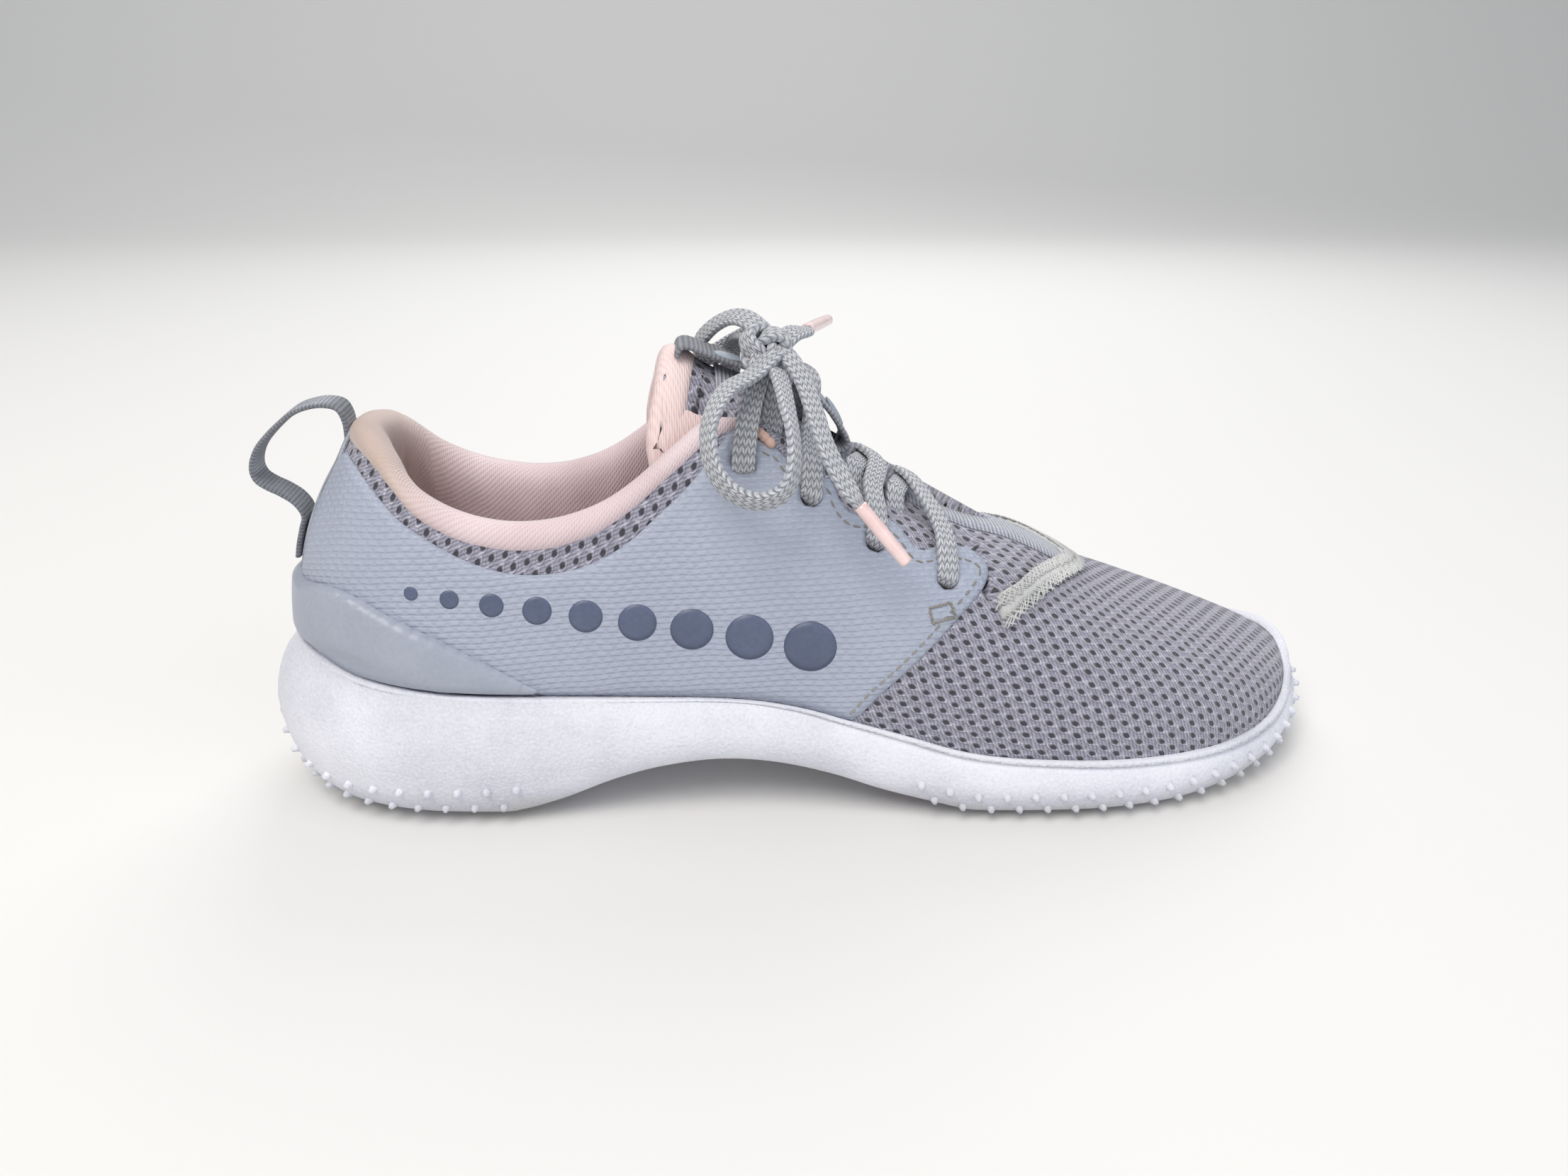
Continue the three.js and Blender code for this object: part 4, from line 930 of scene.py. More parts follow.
nubs = {"pitch": 6.9, "arch": (-74, 20), "heel": (9.6, 4.6), "forefoot": (6.8, 3.0),
        "size": (1.4, 1.4, 2.2), "sunk": 0.8}
tFine = np.linspace(0, 1, 4001)
planLength = runLength(planPoint(tFine, 0.0))
nubCount = int(planLength[-1] / nubs["pitch"])


def nubPlaces():
    places, outs = [], []
    for k in range(nubCount):
        for row in (0, 1):
            t = float(np.interp((k + 0.5 * row) * planLength[-1] / nubCount, planLength, tFine)) % 1.0
            x0 = float(planPoint(np.array([t]), 0.0)[0, 0])
            if nubs["arch"][0] < x0 < nubs["arch"][1]:
                continue
            height = nubs["heel" if x0 < 0 else "forefoot"][row]
            wall = float(soleTop(x0) - underside(x0))
            share = min(0.56 - 0.24 * row, height / wall)
            at = float(wallInset(x0, wallCurve(share)))
            p = planPoint(np.array([t]), at)[0]
            q = planPoint(np.array([t]), at + 2)[0]
            out = (p - q) / np.linalg.norm(p - q)
            aim = unit(np.array([out[0], out[1], -0.15]))
            point = np.array([p[0], p[1], float(underside(p[0])) + share * wall])
            places.append(point - aim * nubs["sunk"])
            outs.append(aim)
    return np.array(places), np.array(outs)


nubAt, nubOut = nubPlaces()
repeated("soleNubs", "cone", nubAt, nubOut, np.cross(nubOut, [0, 0, 1.0]), nubs["size"], material["foam"])
print("stage: midsole")

# collar lining: a padded roll, closed section by section
collar = {"columns": 200, "front": -17.0, "thinning": 15.0,
          # [drop below the top line along the last, offset from the last]
          "roll": [(6.4, -1.9), (5.6, -0.9), (4.6, 0.35), (3.2, 1.0), (1.7, 1.05), (0.3, 0.5), (-0.8, -0.7),
                   (-1.5, -2.3), (-1.6, -4.1), (-1.0, -5.9), (0.6, -7.5), (3.2, -8.6), (6.5, -9.2),
                   (10.5, -9.4), (15, -9.0), (21, -8.5)],
          "deep": [0.25, 0.5, 0.75, 1.0]}


def collarPad(x):
    return -(8.3 - (8.3 - 4.6) * smooth(-58, -28, x))


def sectionCurve(t):
    a = np.linspace(0.004, 1.5, 160)
    p, n = lastPoint(np.full(160, t), a), lastNormal(np.full(160, t), a)
    s = runLength(p)
    gap = p[:, 2] - np.interp(p[:, 0], collarLine[:, 0], collarLine[:, 1])
    over = np.argmax(gap > 0) if (gap > 0).any() else len(s) - 1
    k = gap[over - 1] / (gap[over - 1] - gap[over])
    return p, n, s, s[over - 1] + (s[over] - s[over - 1]) * k


def along(p, n, s, where, offset):
    q = np.stack([np.interp(where, s, p[:, i]) for i in range(3)], -1)
    m = unit(np.stack([np.interp(where, s, n[:, i]) for i in range(3)], -1))
    return q + m * np.asarray(offset)[..., None]


def buildCollar():
    edge = planPoint(tFine, upperInset(planPoint(tFine, 0.0)[:, 0]))
    toeAt = int(np.argmax(edge[:, 0]))
    tLat = float(tFine[np.argmax(edge[:toeAt, 0] > collar["front"])])
    tMed = float(tFine[toeAt + np.argmax(edge[toeAt:, 0] < collar["front"])])
    ts = np.linspace(tLat, tMed - 1, collar["columns"])
    length = np.interp(ts % 1.0, tFine, planLength)
    turns = np.unwrap(length / planLength[-1] * 2 * np.pi) / (2 * np.pi)
    run = np.concatenate([[0], np.cumsum(np.abs(np.diff(turns)) * planLength[-1])])
    total = run[-1]
    columns, uvs = [], []
    for k, t in enumerate(ts):
        p, n, s, sTop = sectionCurve(t % 1.0)
        xTop = float(np.interp(sTop, s, p[:, 0]))
        scale = float(collarPad(xTop) / -8.3)
        drops = np.array([d for d, o in collar["roll"]], float)
        offs = np.array([o if o > -1.9 else -1.9 + (o + 1.9) * (1 + (scale - 1) * 1.25) for d,
                         o in collar["roll"]], float)
        wave = 0.35 * math.sin(run[k] * 0.23) + 0.25 * math.sin(run[k] * 0.61 + 1.0)
        pinch = np.exp(-((drops - 12) / 5) ** 2)
        offs = offs - wave * pinch
        where = sTop - drops
        lowest = max(where[-1], 2.0)
        deepWhere = np.array([lowest + (0.8 - lowest) * f for f in collar["deep"]])
        deepOff = np.full(4, offs[-1])
        backWhere = np.linspace(0.8, max(sTop - 7.0, 1.5), 7)
        ring = np.vstack([along(p, n, s, where, offs), along(p, n, s, deepWhere, deepOff),
                          along(p, n, s, backWhere, np.full(7, -1.95))])
        fromEnd = min(run[k], total - run[k])
        if fromEnd < collar["thinning"]:
            middle = along(p, n, s, np.array([sTop - 2.6]), np.array([-0.6]))[0]
            share = 0.28 + 0.72 * smooth(-3, collar["thinning"], fromEnd)
            ring = middle + (ring - middle) * share
        columns.append(ring)
        uvs.append(np.stack([np.full(len(ring), run[k]), runLength(ring)], -1) / 1000)
    m = len(columns[0])
    faces = gridFaces(len(ts), m, True) + endCaps(len(ts), m)
    return makePiece("collarLining", np.vstack(columns), faces, material["lining"], np.vstack(uvs))


buildCollar()
print("stage: collar")

# lining of the forepart, sockliner and lasting margin
liningOpening = [(74, 0), (70, 12), (62, 22), (50, 29), (36, 32), (5, 29.5), (-23, 28), (-80, 28)]


def liningField(p):
    return np.minimum.reduce([aboveSole(p, -5.0), p[:, 0] + 29.0,
                              belowLine(p[:, 0], p[:, 2], collarLine, -3.0),
                              -insideShape(p[:, 0], p[:, 1], mirrored(liningOpening))])


panel("vampLining", liningField, material["lining"])
sock = {"columns": 200, "drop": 3.8, "heelInset": 9.4, "toeInset": 4.8,
        "under": [0.05, 0.5, 0.98, 1], "over": [(1, 2.6), (0.97, 3.4), (0.9, 3.6), (0.5, 3.2), (0.05, 3.2)]}


def buildSock():
    t = np.arange(sock["columns"]) / sock["columns"]
    inset = lambda x: upperInset(x) + sock["heelInset"] + (sock["toeInset"]
                                                           - sock["heelInset"]) * smooth(-12, 14, x)
    level = lambda rise: (lambda x: soleTop(x) - sock["drop"] + rise)
    rings = [insetRing(t, share, inset, level(0)) for share in sock["under"]]
    rings += [insetRing(t, share, inset, level(rise)) for share, rise in sock["over"]]
    pts = np.vstack(rings)
    n = len(t)
    faces = gridFaces(len(rings), n, True) + endCaps(len(rings), n)
    return makePiece("sockliner", pts, faces, material["lining"], pts[:, :2] / 1000)


buildSock()

# tongue
tongue = {"plan": [(65.5, 0), (62.6, 6.5), (57, 14.6), (49, 22), (42, 26.8), (38.2, 26.8), (30, 24.5),
                   (0, 24.5), (-12, 22.5), (-24, 18.5), (-42, 17), (-39.4, 10), (-37, 0)],
          "crown": [(-48, 113), (-43, 112.5), (-36, 109.6), (-30, 106), (-20, 99.6), (-10, 92.6), (0, 85),
                    (10, 78.4), (20, 72.6), (30, 67.5)],
          "drop": [(-48, 92), (-30, 90), (-22, 62), (-10, 30), (20, 20)], "steps": 6, "around": 260}
tongueCrown, tongueDrop = profile(tongue["crown"]), profile(tongue["drop"])


def tongueFace(x, y):
    x, y = np.broadcast_arrays(np.asarray(x, float), np.asarray(y, float))
    mid = last["throatY"]
    span = np.minimum(28, np.abs(y - mid))
    free = tongueCrown(x) - tongueDrop(x) * (span / 30) ** 2.2
    tuck = (1 - smooth(36.5, 39.5, x)) * smooth(10.5, 15, span)
    depth = 3.7 + 2.6 * smooth(4, -14, x)
    held = heightOn(x, mid + np.sign(y - mid) * span) - 0.7 - depth * tuck
    share = smooth(-27, -14, x)
    return free * (1 - share) + held * share


def tongueNormal(x, y):
    return slopeNormal(tongueFace, x, y, 0.8)


def planGrid(corners, insets, steps):
    # rings of a closed plan outline moved toward its centre line by growing distances
    outlinePts = rounded(mirrored(corners), steps)
    closed = np.vstack([outlinePts, outlinePts[:1]])
    run = runLength(closed)
    even = np.linspace(0, run[-1], tongue["around"], endpoint=False)
    outlinePts = np.stack([np.interp(even, run, closed[:, 0]), np.interp(even, run, closed[:, 1])], -1)
    d = np.roll(outlinePts, -1, axis=0) - np.roll(outlinePts, 1, axis=0)
    inward = unit(np.stack([d[:, 1], -d[:, 0]], -1))
    spine = np.stack([np.clip(outlinePts[:, 0], -30, 52), np.full(len(outlinePts), last["throatY"])], -1)
    if ((outlinePts + inward - spine) ** 2).sum() > ((outlinePts - inward - spine) ** 2).sum():
        inward = -inward
    rings = []
    for inset in insets:
        p = outlinePts + inward * min(inset, 9)
        if inset > 9:
            p = p + (spine - p) * (inset - 9)
        rings.append(p)
    return rings


def layeredPlan(name, corners, levels, mat, steps=6):
    # closed padded sheet over the tongue face: each level is (inset, height above the face) at the free end,
    # then the same where the vamp holds it; an inset over 9 is a share + 9
    freeRings = planGrid(corners, [free[0] for free, held in levels], steps)
    heldRings = planGrid(corners, [held[0] for free, held in levels], steps)
    isFree = smooth(-20, -28, freeRings[0][:, 0])[:, None]
    rings = []
    for a, b, (free, held) in zip(freeRings, heldRings, levels):
        p = a * isFree + b * (1 - isFree)
        rise = free[1] * isFree[:, 0] + held[1] * (1 - isFree[:, 0])
        face = np.concatenate([p, tongueFace(p[:, 0], p[:, 1])[:, None]], 1)
        rings.append(face + tongueNormal(p[:, 0], p[:, 1]) * rise[:, None])
    pts = np.vstack(rings)
    n = len(rings[0])
    faces = gridFaces(len(rings), n, True) + endCaps(len(rings), n)
    stations = np.linspace(-48, 70, 119)
    slope = runLength(np.stack([stations, tongueFace(stations, last["throatY"])], -1))
    u = np.interp(pts[:, 0], stations, slope)
    return makePiece(name, pts, faces, mat, np.stack([u, pts[:, 1]], -1) / 1000)


inner = [9.25, 9.5, 9.75, 9.96]
bothEnds = lambda levels: [(level, level) for level in levels]
layeredPlan("tongueMesh", tongue["plan"], bothEnds([(s, -1.2) for s in inner[::-1]] + [(9, -1.2)])
            + [((6.4, -1.2), (-1.5, -1.2)), ((6.2, -0.8), (-2.4, -0.7)), ((6.6, -0.4), (-2.0, -0.1)),
               ((9, -0.2), (5, 0))]
            + [((s, -0.2), (s, 0.0)) for s in inner], material["vampMesh"], tongue["steps"])
layeredPlan("tonguePadding", tongue["plan"], bothEnds([(s, -5.7) for s in inner[::-1]] + [(9, -5.7)])
            + [((5, -5.7), (6, -5.7)), ((2, -5.2), (4.6, -5.5)), ((0.4, -4.2), (3.4, -4.6)),
               ((-0.3, -2.9), (3, -3.6)), ((0.0, -1.4), (3.2, -2.6)), ((1.0, -0.35), (3.8, -1.7)),
               ((3, 0.25), (5, -1.45)), ((5, 0.3), (6, -1.45)), ((6.3, 0.1), (7, -1.45)),
               ((7.2, -1.5), (7.6, -1.5))]
            + bothEnds([(9, -1.5)] + [(s, -1.5) for s in inner]), material["tongueSatin"], tongue["steps"])


tongueRibbon = {"from": -26, "to": 64.5, "half": 7.5, "thick": 1.3, "steps": 70, "across": 9}


def buildTongueRibbon():
    x = np.linspace(tongueRibbon["from"], tongueRibbon["to"], tongueRibbon["steps"])
    v = np.linspace(-1, 1, tongueRibbon["across"])
    along, across = np.meshgrid(x, v, indexing="ij")
    sideways = last["throatY"] + across * tongueRibbon["half"]
    z = tongueFace(along, sideways)
    edge = 1 - np.abs(across) ** 6 * 0.7
    upper = np.stack([along, sideways, z + tongueRibbon["thick"] * edge], -1)
    lower = np.stack([along, sideways, z], -1)[:, ::-1]
    ring = np.concatenate([upper, lower], 1)
    n = ring.shape[1]
    faces = gridFaces(len(x), n, True) + endCaps(len(x), n)
    run = runLength(np.stack([x, tongueFace(x, last["throatY"])], -1))
    uv = np.stack([ring[..., 1], np.broadcast_to(run[:, None], ring.shape[:2])], -1).reshape(-1, 2) / 1000
    return makePiece("tongueRibbon", ring.reshape(-1, 3), faces, material["ribbon"], uv)


buildTongueRibbon()
bands = {
    "keeper": [(-35.6, 107.8), (-34.6, 109.9), (-32.4, 110.4), (-28, 108.8), (-20, 106), (-12, 103),
               (-6, 100.4), (-1, 97.6), (1.9, 94.6), (4.4, 91), (6.4, 87.6), (6.8, 85.4), (5.2, 83.4),
               (2.6, 83.9), (-1, 87)],
    "loop": [(-112.6, 87.5), (-112.8, 92.6), (-114.4, 95.8), (-118, 96.8), (-122, 96.3), (-125.4, 95),
             (-129, 92.3), (-132.3, 89.3), (-135, 86.2), (-136.6, 82.8), (-136.9, 80), (-136, 77.6),
             (-133.8, 75.8), (-131, 74.2), (-128.0, 71.8), (-126.6, 69), (-127.5, 66), (-128.7, 62),
             (-129.4, 58.8)],
}


def band(name, path, y, width, thick, turn, mat):
    p = np.asarray(path, float)
    d = unit(np.gradient(p, axis=0))
    n = np.stack([-d[:, 1], d[:, 0]], -1) * turn
    centre = p - n * thick / 2
    line = np.stack([centre[:, 0], np.full(len(p), y), centre[:, 1]], -1)
    up = np.stack([n[:, 0], np.zeros(len(p)), n[:, 1]], -1)
    return ribbonTube(name, line, up, width, thick, mat, 110, 0.3)[0]


band("tongueKeeper", bands["keeper"], last["throatY"], 15, 1.5, 1, material["ribbon"])
band("heelLoop", bands["loop"], 0, 10, 1.4, -1, material["loopRibbon"])
print("stage: tongue")

# lace
lace = {"width": 5.4, "thick": 2.0, "rowReach": [(23.4, 21.4, 17.4), (13.6, 11.4, 7)], "stack": 2.3}
keeperTop = profile(bands["keeper"][3:10])


def onLast(x, y, lift):
    n = normalOn(x, y)
    return np.array([x, y, float(heightOn(x, y))]) + n * lift, n


def onTongue(x, across, lift):
    y = last["throatY"] + across
    return np.array([x, y, float(tongueFace(x, y)) + lift]), tongueNormal(np.array([x]), np.array([y]))[0]


def crossing(name, row, side, stack):
    x0, span = outline["eyelets"][row]
    y0 = last["throatY"] + side * span
    away = np.array([0, side * 1.0, 0.25])
    rise, n = onLast(x0, y0, 1.3)
    points = [(onLast(x0, y0, -3.2)[0], away), (onLast(x0, y0, -0.6)[0], away),
              (rise + np.array([0, -side * 1.2, 0.4]), unit(away + n * 1.2)),
              onLast(x0 - 0.3, last["throatY"] + side * (span - 5), 2.4),
              onLast(x0 - 0.5, last["throatY"] + side * (span - 10), 2.4)]
    if row < 2:
        near, middle, far = lace["rowReach"][row]
        points += [onTongue(near, side * 6, 3.0 + stack), onTongue(middle, 0, 2.7 + stack),
                   onTongue((middle + far) / 2, -side * 6, 2.6), onTongue(far, -side * 11, 2.3),
                   onTongue(far - 0.6, -side * 14.6, 1.6)]
    else:
        up = unit(np.array([0.35, 0, 1.0]))
        over = lambda x, across, lift: (np.array([x, last["throatY"] + across, float(keeperTop(x)) + lift]),
                                        up)
        points += [over(-3.6, side * 9, 1.0 + stack), over(-6.4, 0, 1.4 + stack),
                   over(-10, -side * 8.4, 1.3), onTongue(-13, -side * 12.4, 1.9),
                   onTongue(-14, -side * 16, 1.0)]
    line = [p for p, u in points]
    ups = [unit(np.asarray(u, float)) for p, u in points]
    return ribbonTube(name, line, ups, lace["width"], lace["thick"], material["lace"], 100)[0]


for row in range(3):
    crossing(f"laceUnder{row + 1}", row, 1, 0.0)
    crossing(f"laceOver{row + 1}", row, -1, lace["stack"])

routes = {
    # point, then the way the flat face looks
    "laceRiseLateral": [((-20.8, -26.2, 84.0), (0, -1, 0.3)), ((-20.8, -28.0, 87.0), (0, -1, 0.4)),
                        ((-20.4, -27.0, 91.0), (0.1, -1, 0.5)), ((-18.8, -22.8, 98.8), (0.2, -0.9, 0.6)),
                        ((-16.6, -18.4, 105.0), (0.2, -0.8, 0.7)),
                        ((-15.2, -15.0, 109.2), (0.2, -0.7, 0.7))],
    "laceRiseMedial": [((-20.8, 20.2, 84.5), (0, 1, 0.3)), ((-20.8, 22.2, 88.0), (0, 1, 0.4)),
                       ((-21, 16.6, 97.4), (0, 0.8, 0.7)), ((-20.6, 9, 105.6), (0, 0.6, 0.9)),
                       ((-19.4, 1, 110.0), (0, 0.3, 1)), ((-17.4, -7, 111.8), (0, 0, 1))],
    "laceBowNear": [((-12.6, -16.4, 109.4), (-0.4, -0.4, 0.8)), ((-17.8, -22, 105.9), (-0.5, -0.5, 0.7)),
                    ((-24.4, -29, 103.8), (-0.5, -0.6, 0.6)), ((-27.9, -35, 100.1), (-0.7, -0.6, 0.4)),
                    ((-29.2, -38.4, 96.5), (-0.8, -0.6, 0.1)), ((-28.6, -42, 90.7), (-0.7, -0.7, -0.2)),
                    ((-26.4, -44, 86.9), (-0.5, -0.8, -0.4)), ((-23, -45.5, 84.3), (-0.2, -0.8, -0.5)),
                    ((-18.6, -46.3, 83.4), (0.1, -0.8, -0.5)), ((-14.4, -46.3, 84.6), (0.5, -0.8, -0.3)),
                    ((-12.1, -45.6, 87.4), (0.8, -0.6, 0)), ((-11, -43.6, 91.3), (0.9, -0.5, 0.2)),
                    ((-10.9, -39.4, 96.2), (0.9, -0.4, 0.4)), ((-11.4, -33.6, 100), (0.8, -0.4, 0.6)),
                    ((-11.7, -27.4, 102.8), (0.7, -0.4, 0.7)), ((-12.2, -19.6, 105.8), (0.5, -0.4, 0.8))],
    "laceBowFar": [((-14.2, -10, 112.9), (0.1, -0.5, 0.9)), ((-18, -6, 115.3), (-0.2, -0.5, 0.9)),
                   ((-20.9, -2, 115.4), (-0.4, -0.4, 0.9)), ((-24.1, 2, 113.6), (-0.7, -0.3, 0.7)),
                   ((-27.2, 6, 110.4), (-0.8, -0.3, 0.4)), ((-29.4, 9.6, 106.9), (-0.9, 0.0, 0.1)),
                   ((-28.8, 13.4, 103.9), (-0.7, 0.5, -0.3)), ((-25.0, 15.0, 103.4), (-0.1, 0.8, -0.4)),
                   ((-20.4, 12.2, 106.4), (0.4, 0.7, 0.2)), ((-16.4, 6.6, 109.8), (0.4, 0.4, 0.7)),
                   ((-14.4, -0.6, 111.8), (0.2, 0.1, 0.9)), ((-14.0, -7, 111.9), (0.1, -0.1, 0.9))],
    "laceEndNear": [((-11.6, -14.0, 110.4), (0.2, -0.6, 0.8)), ((-8.8, -17.4, 107.6), (0.4, -0.6, 0.7)),
                    ((-6.4, -21.4, 103.6), (0.5, -0.6, 0.6)), ((-4.6, -27.4, 98.0), (0.5, -0.6, 0.6)),
                    ((-3.0, -32.4, 92.4), (0.5, -0.6, 0.5)), ((0.4, -37.4, 85.4), (0.5, -0.7, 0.5)),
                    ((3.6, -40.6, 80.6), (0.5, -0.7, 0.5)), ((6.4, -42.0, 77.0), (0.5, -0.7, 0.5)),
                    ((9.4, -43.2, 73.2), (0.5, -0.7, 0.5))],
    "laceEndFar": [((-11.0, -13.4, 111.0), (0.2, -0.3, 0.9)), ((-8.0, -9.6, 112.6), (0.2, -0.3, 0.9)),
                   ((-5.4, -5.4, 112.4), (0.1, -0.3, 0.9)), ((-3.6, -1.6, 112.0), (0, -0.1, 1)),
                   ((-2.0, 3.0, 112.0), (0, 0, 1)), ((0.6, 9.4, 111.6), (0, 0, 1)),
                   ((3.6, 17.0, 111.0), (0, 0, 1))],
}
tipped = {"laceEndNear": (0.66, 0.8), "laceEndFar": (0.42, 0.52)}
for name, route in routes.items():
    steps = 110
    width, thick = np.full(steps, lace["width"]), np.full(steps, lace["thick"])
    if name in tipped:
        a, b = tipped[name]
        k = smooth(a, b, np.linspace(0, 1, steps))
        width, thick = width * (1 - k) + 2.2 * k, thick * (1 - k) + 1.9 * k
    ribbonTube(name, [p for p, u in route], [u for p, u in route], width, thick,
                                material["lace"], steps)

knot = {"centre": np.array([-14.6, -13.0, 109.6]), "radius": 3.5, "flat": 0.62, "tilt": 1.1, "around": 150,
        "wide": 2.5, "thick": 1.25}


def buildKnot():
    u = np.linspace(0, 4 * np.pi, knot["around"] + 1)[:-1]
    q = 1.5 * u
    r = knot["radius"]
    p = np.stack([r * (2 + np.cos(q)) * 0.5 * np.cos(u), r * (2 + np.cos(q)) * 0.5 * np.sin(u),
                  r * np.sin(q) * knot["flat"]], -1)
    c, s = math.cos(knot["tilt"]), math.sin(knot["tilt"])
    p = np.stack([p[:, 0], p[:, 1] * c - p[:, 2] * s, p[:, 1] * s + p[:, 2] * c], -1)
    face = unit(p + 0.4 * np.array([0, -math.sin(knot["tilt"]), math.cos(knot["tilt"])]))
    tangent = unit(np.roll(p, -1, axis=0) - np.roll(p, 1, axis=0))
    face = unit(face - (face * tangent).sum(-1, keepdims=True) * tangent)
    side = np.cross(tangent, face)
    ex, ez = flatSection(0.5)
    across, up = side[:, None] * (ex * knot["wide"])[..., None], face[:, None] * (ez * knot["thick"])[...,
        None]
    pts = (p[:, None] + across + up).reshape(-1, 3) + knot["centre"]
    n, ring = len(p), len(ex)
    faces = [[k % (n * ring) for k in f] for f in gridFaces(n + 1, ring, True)]
    run = np.arange(n) * 0.45
    uv = np.stack([np.tile(0.5 + ex / 2, n), np.repeat(run, ring) / 1000], -1)
    return makePiece("laceKnot", pts, faces, material["lace"], uv)


buildKnot()
aglets = {"agletNear": ((4.0, -40.9, 80.1), (14.3, -45.2, 67.8)),
          "agletFar": ((-3.0, 0.2, 112.0), (4.6, 19.4, 111.0))}
for name, (a, b) in aglets.items():
    a, b = np.array(a), np.array(b)
    up = np.array([0.5, -0.7, 0.5]) if name == "agletNear" else np.array([0, 0, 1.0])
    ribbonTube(name, [a, a * 0.66 + b * 0.34, a * 0.33 + b * 0.67, b], [up] * 4, 3.2, 2.9,
               material["aglet"], 24, 0.9, (0.98, 0.9))
print("stage: lace")

# CAD nodes that show as they are: rubber pods, and stiffeners inside the upper
for node, mat in (("outsole_forefoot_pod", "rubber"), ("outsole_heel_pod", "rubber"),
                  ("lasting_board", "board")):
    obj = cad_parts[node]
    obj.data.materials.clear()
    obj.data.materials.append(material[mat])

# stitching, bartacks and the printed mark, all on the lateral and medial faces of the upper
sideOf = {-1: basePoints[:, 1] < spineY(basePoints[:, 0]) - 4,
          1: basePoints[:, 1] > spineY(basePoints[:, 0]) + 4}


def onSide(xz, side, lift):
    # points of the upper's face seen at (x, z) from one side, lifted off it, with their normals
    face = basePoints + baseNormals * lift
    pool = np.nonzero(sideOf[side])[0]
    found, ns = [], []
    for x, z in np.asarray(xz, float):
        d = (face[pool, 0] - x) ** 2 + (face[pool, 2] - z) ** 2 + 0.002 * (face[pool, 1] - side * 60) ** 2
        v = pool[int(np.argmin(d))]
        n = baseNormals[v]
        dy = -((x - face[v, 0]) * n[0] + (z - face[v, 2]) * n[2]) / (n[1] if abs(n[1]) > 0.25
            else math.copysign(0.25, n[1]))
        found.append([x, face[v, 1] + float(np.clip(dy, -2, 2)), z])
        ns.append(n)
    return np.array(found), unit(np.array(ns))


def onBothSides(flat, lift, run=None):
    # the same line of places on both faces, with normals and the way each stitch runs
    made = [onSide(flat, side, lift) for side in (-1, 1)]
    runs = [unit(np.gradient(p, axis=0)) if run is None else np.tile(run, (len(p), 1)) for p, n in made]
    return np.vstack([p for p, n in made]), np.vstack([n for p, n in made]), np.vstack(runs)


def evenly(line, pitch):
    line = np.asarray(line, float)
    run = runLength(line)
    at = np.arange(pitch / 2, run[-1], pitch)
    return np.stack([np.interp(at, run, line[:, i]) for i in range(line.shape[1])], -1)


stitching = {"pitch": 2.6, "inset": 2.3, "size": (2.0, 0.55, 0.5), "lift": 0.95}


def insetLine(corners, inset):
    p = np.asarray(corners, float)
    d = unit(np.gradient(p, axis=0))
    return p + np.stack([d[:, 1], -d[:, 0]], -1) * inset


eyestayEdge = rounded(outline["film"][19:-1], 6, False)
eyestaySeam = evenly(insetLine(eyestayEdge, stitching["inset"]), stitching["pitch"])
repeated("eyestayStitches", "stitch", *onBothSides(eyestaySeam, stitching["lift"]), stitching["size"],
         material["thread"])

tack = {"corners": [(22.2, 52.9), (27.6, 53.6), (28.6, 50.6), (23.0, 49.6), (22.2, 52.9)], "pitch": 1.15,
        "size": (1.5, 0.7, 0.6), "lift": 1.0}
tackPlaces = onBothSides(evenly(tack["corners"], tack["pitch"]), tack["lift"])
repeated("eyestayBartacks", "stitch", *tackPlaces, tack["size"], material["thread"])

cover = {"pitch": 0.5, "size": (4.2, 0.4, 0.5), "tilt": 0.8, "seed": 7}


def coverStitches():
    # zigzag cover stitch that hides the tongue seam: two crossing rows of slanted threads along the U
    rng = np.random.default_rng(cover["seed"])
    mid = [((a[0] + b[0]) / 2, (a[1] + b[1]) / 2) for a, b in zip(outline["seamOuter"][::-1],
        outline["seamInner"])]
    y = last["throatY"]
    line = [(x, y - s) for x, s in mid] + [(68.2, y)] + [(x, y + s) for x, s in mid[::-1]]
    centre = evenly(splineThrough(line, np.linspace(0, 1, 200)), cover["pitch"])
    run = unit(np.gradient(centre, axis=0))
    across = np.stack([-run[:, 1], run[:, 0]], -1)
    pts, ns, dirs = [], [], []
    for k in range(len(centre)):
        for lane in (-1, 1):
            jitter = rng.uniform(-0.35, 0.35, 2)
            p = centre[k] + across[k] * (lane * 1.6 + jitter[0]) + run[k] * jitter[1]
            n = normalOn(p[0], p[1])
            way = across[k] * (1 if (k + lane) % 2 else -1) + run[k] * cover["tilt"] * rng.uniform(0.6, 1.5)
            level = np.array([way[0], way[1], 0.0])
            pts.append(np.array([p[0], p[1], float(heightOn(p[0], p[1]))]) + n * 1.15)
            ns.append(n)
            dirs.append(unit(level - n * (level @ n)))
    return np.array(pts), np.array(ns), np.array(dirs)


repeated("coverStitches", "stitch", *coverStitches(), cover["size"], material["paleThread"])

lump = {"at": [(-15.6, 91.4), (-14.4, 90.2), (-16.6, 92.3)], "run": (0.7, 0.0, -0.7),
        "size": (3.2, 2.6, 2.4), "lift": 1.2}
repeated("collarBartacks", "stitch", *onBothSides(lump["at"], lump["lift"], lump["run"]), lump["size"],
         material["pinkThread"])
strapPads = {"at": [(-22.5, -7.4, 107.0), (3.0, -6.6, 93.4)],
             "face": [(0.3, -0.1, 0.95), (0.84, -0.1, 0.52)], "run": [(0.95, 0, -0.3), (0.52, 0, -0.84)],
             "size": (8.5, 5.0, 1.3)}
repeated("strapPads", "stitch", strapPads["at"], strapPads["face"], strapPads["run"], strapPads["size"],
         material["pad"])

mark = {"start": (-97, 58.5), "end": (-6, 44.5), "count": 9, "small": 1.6, "large": 6.2}


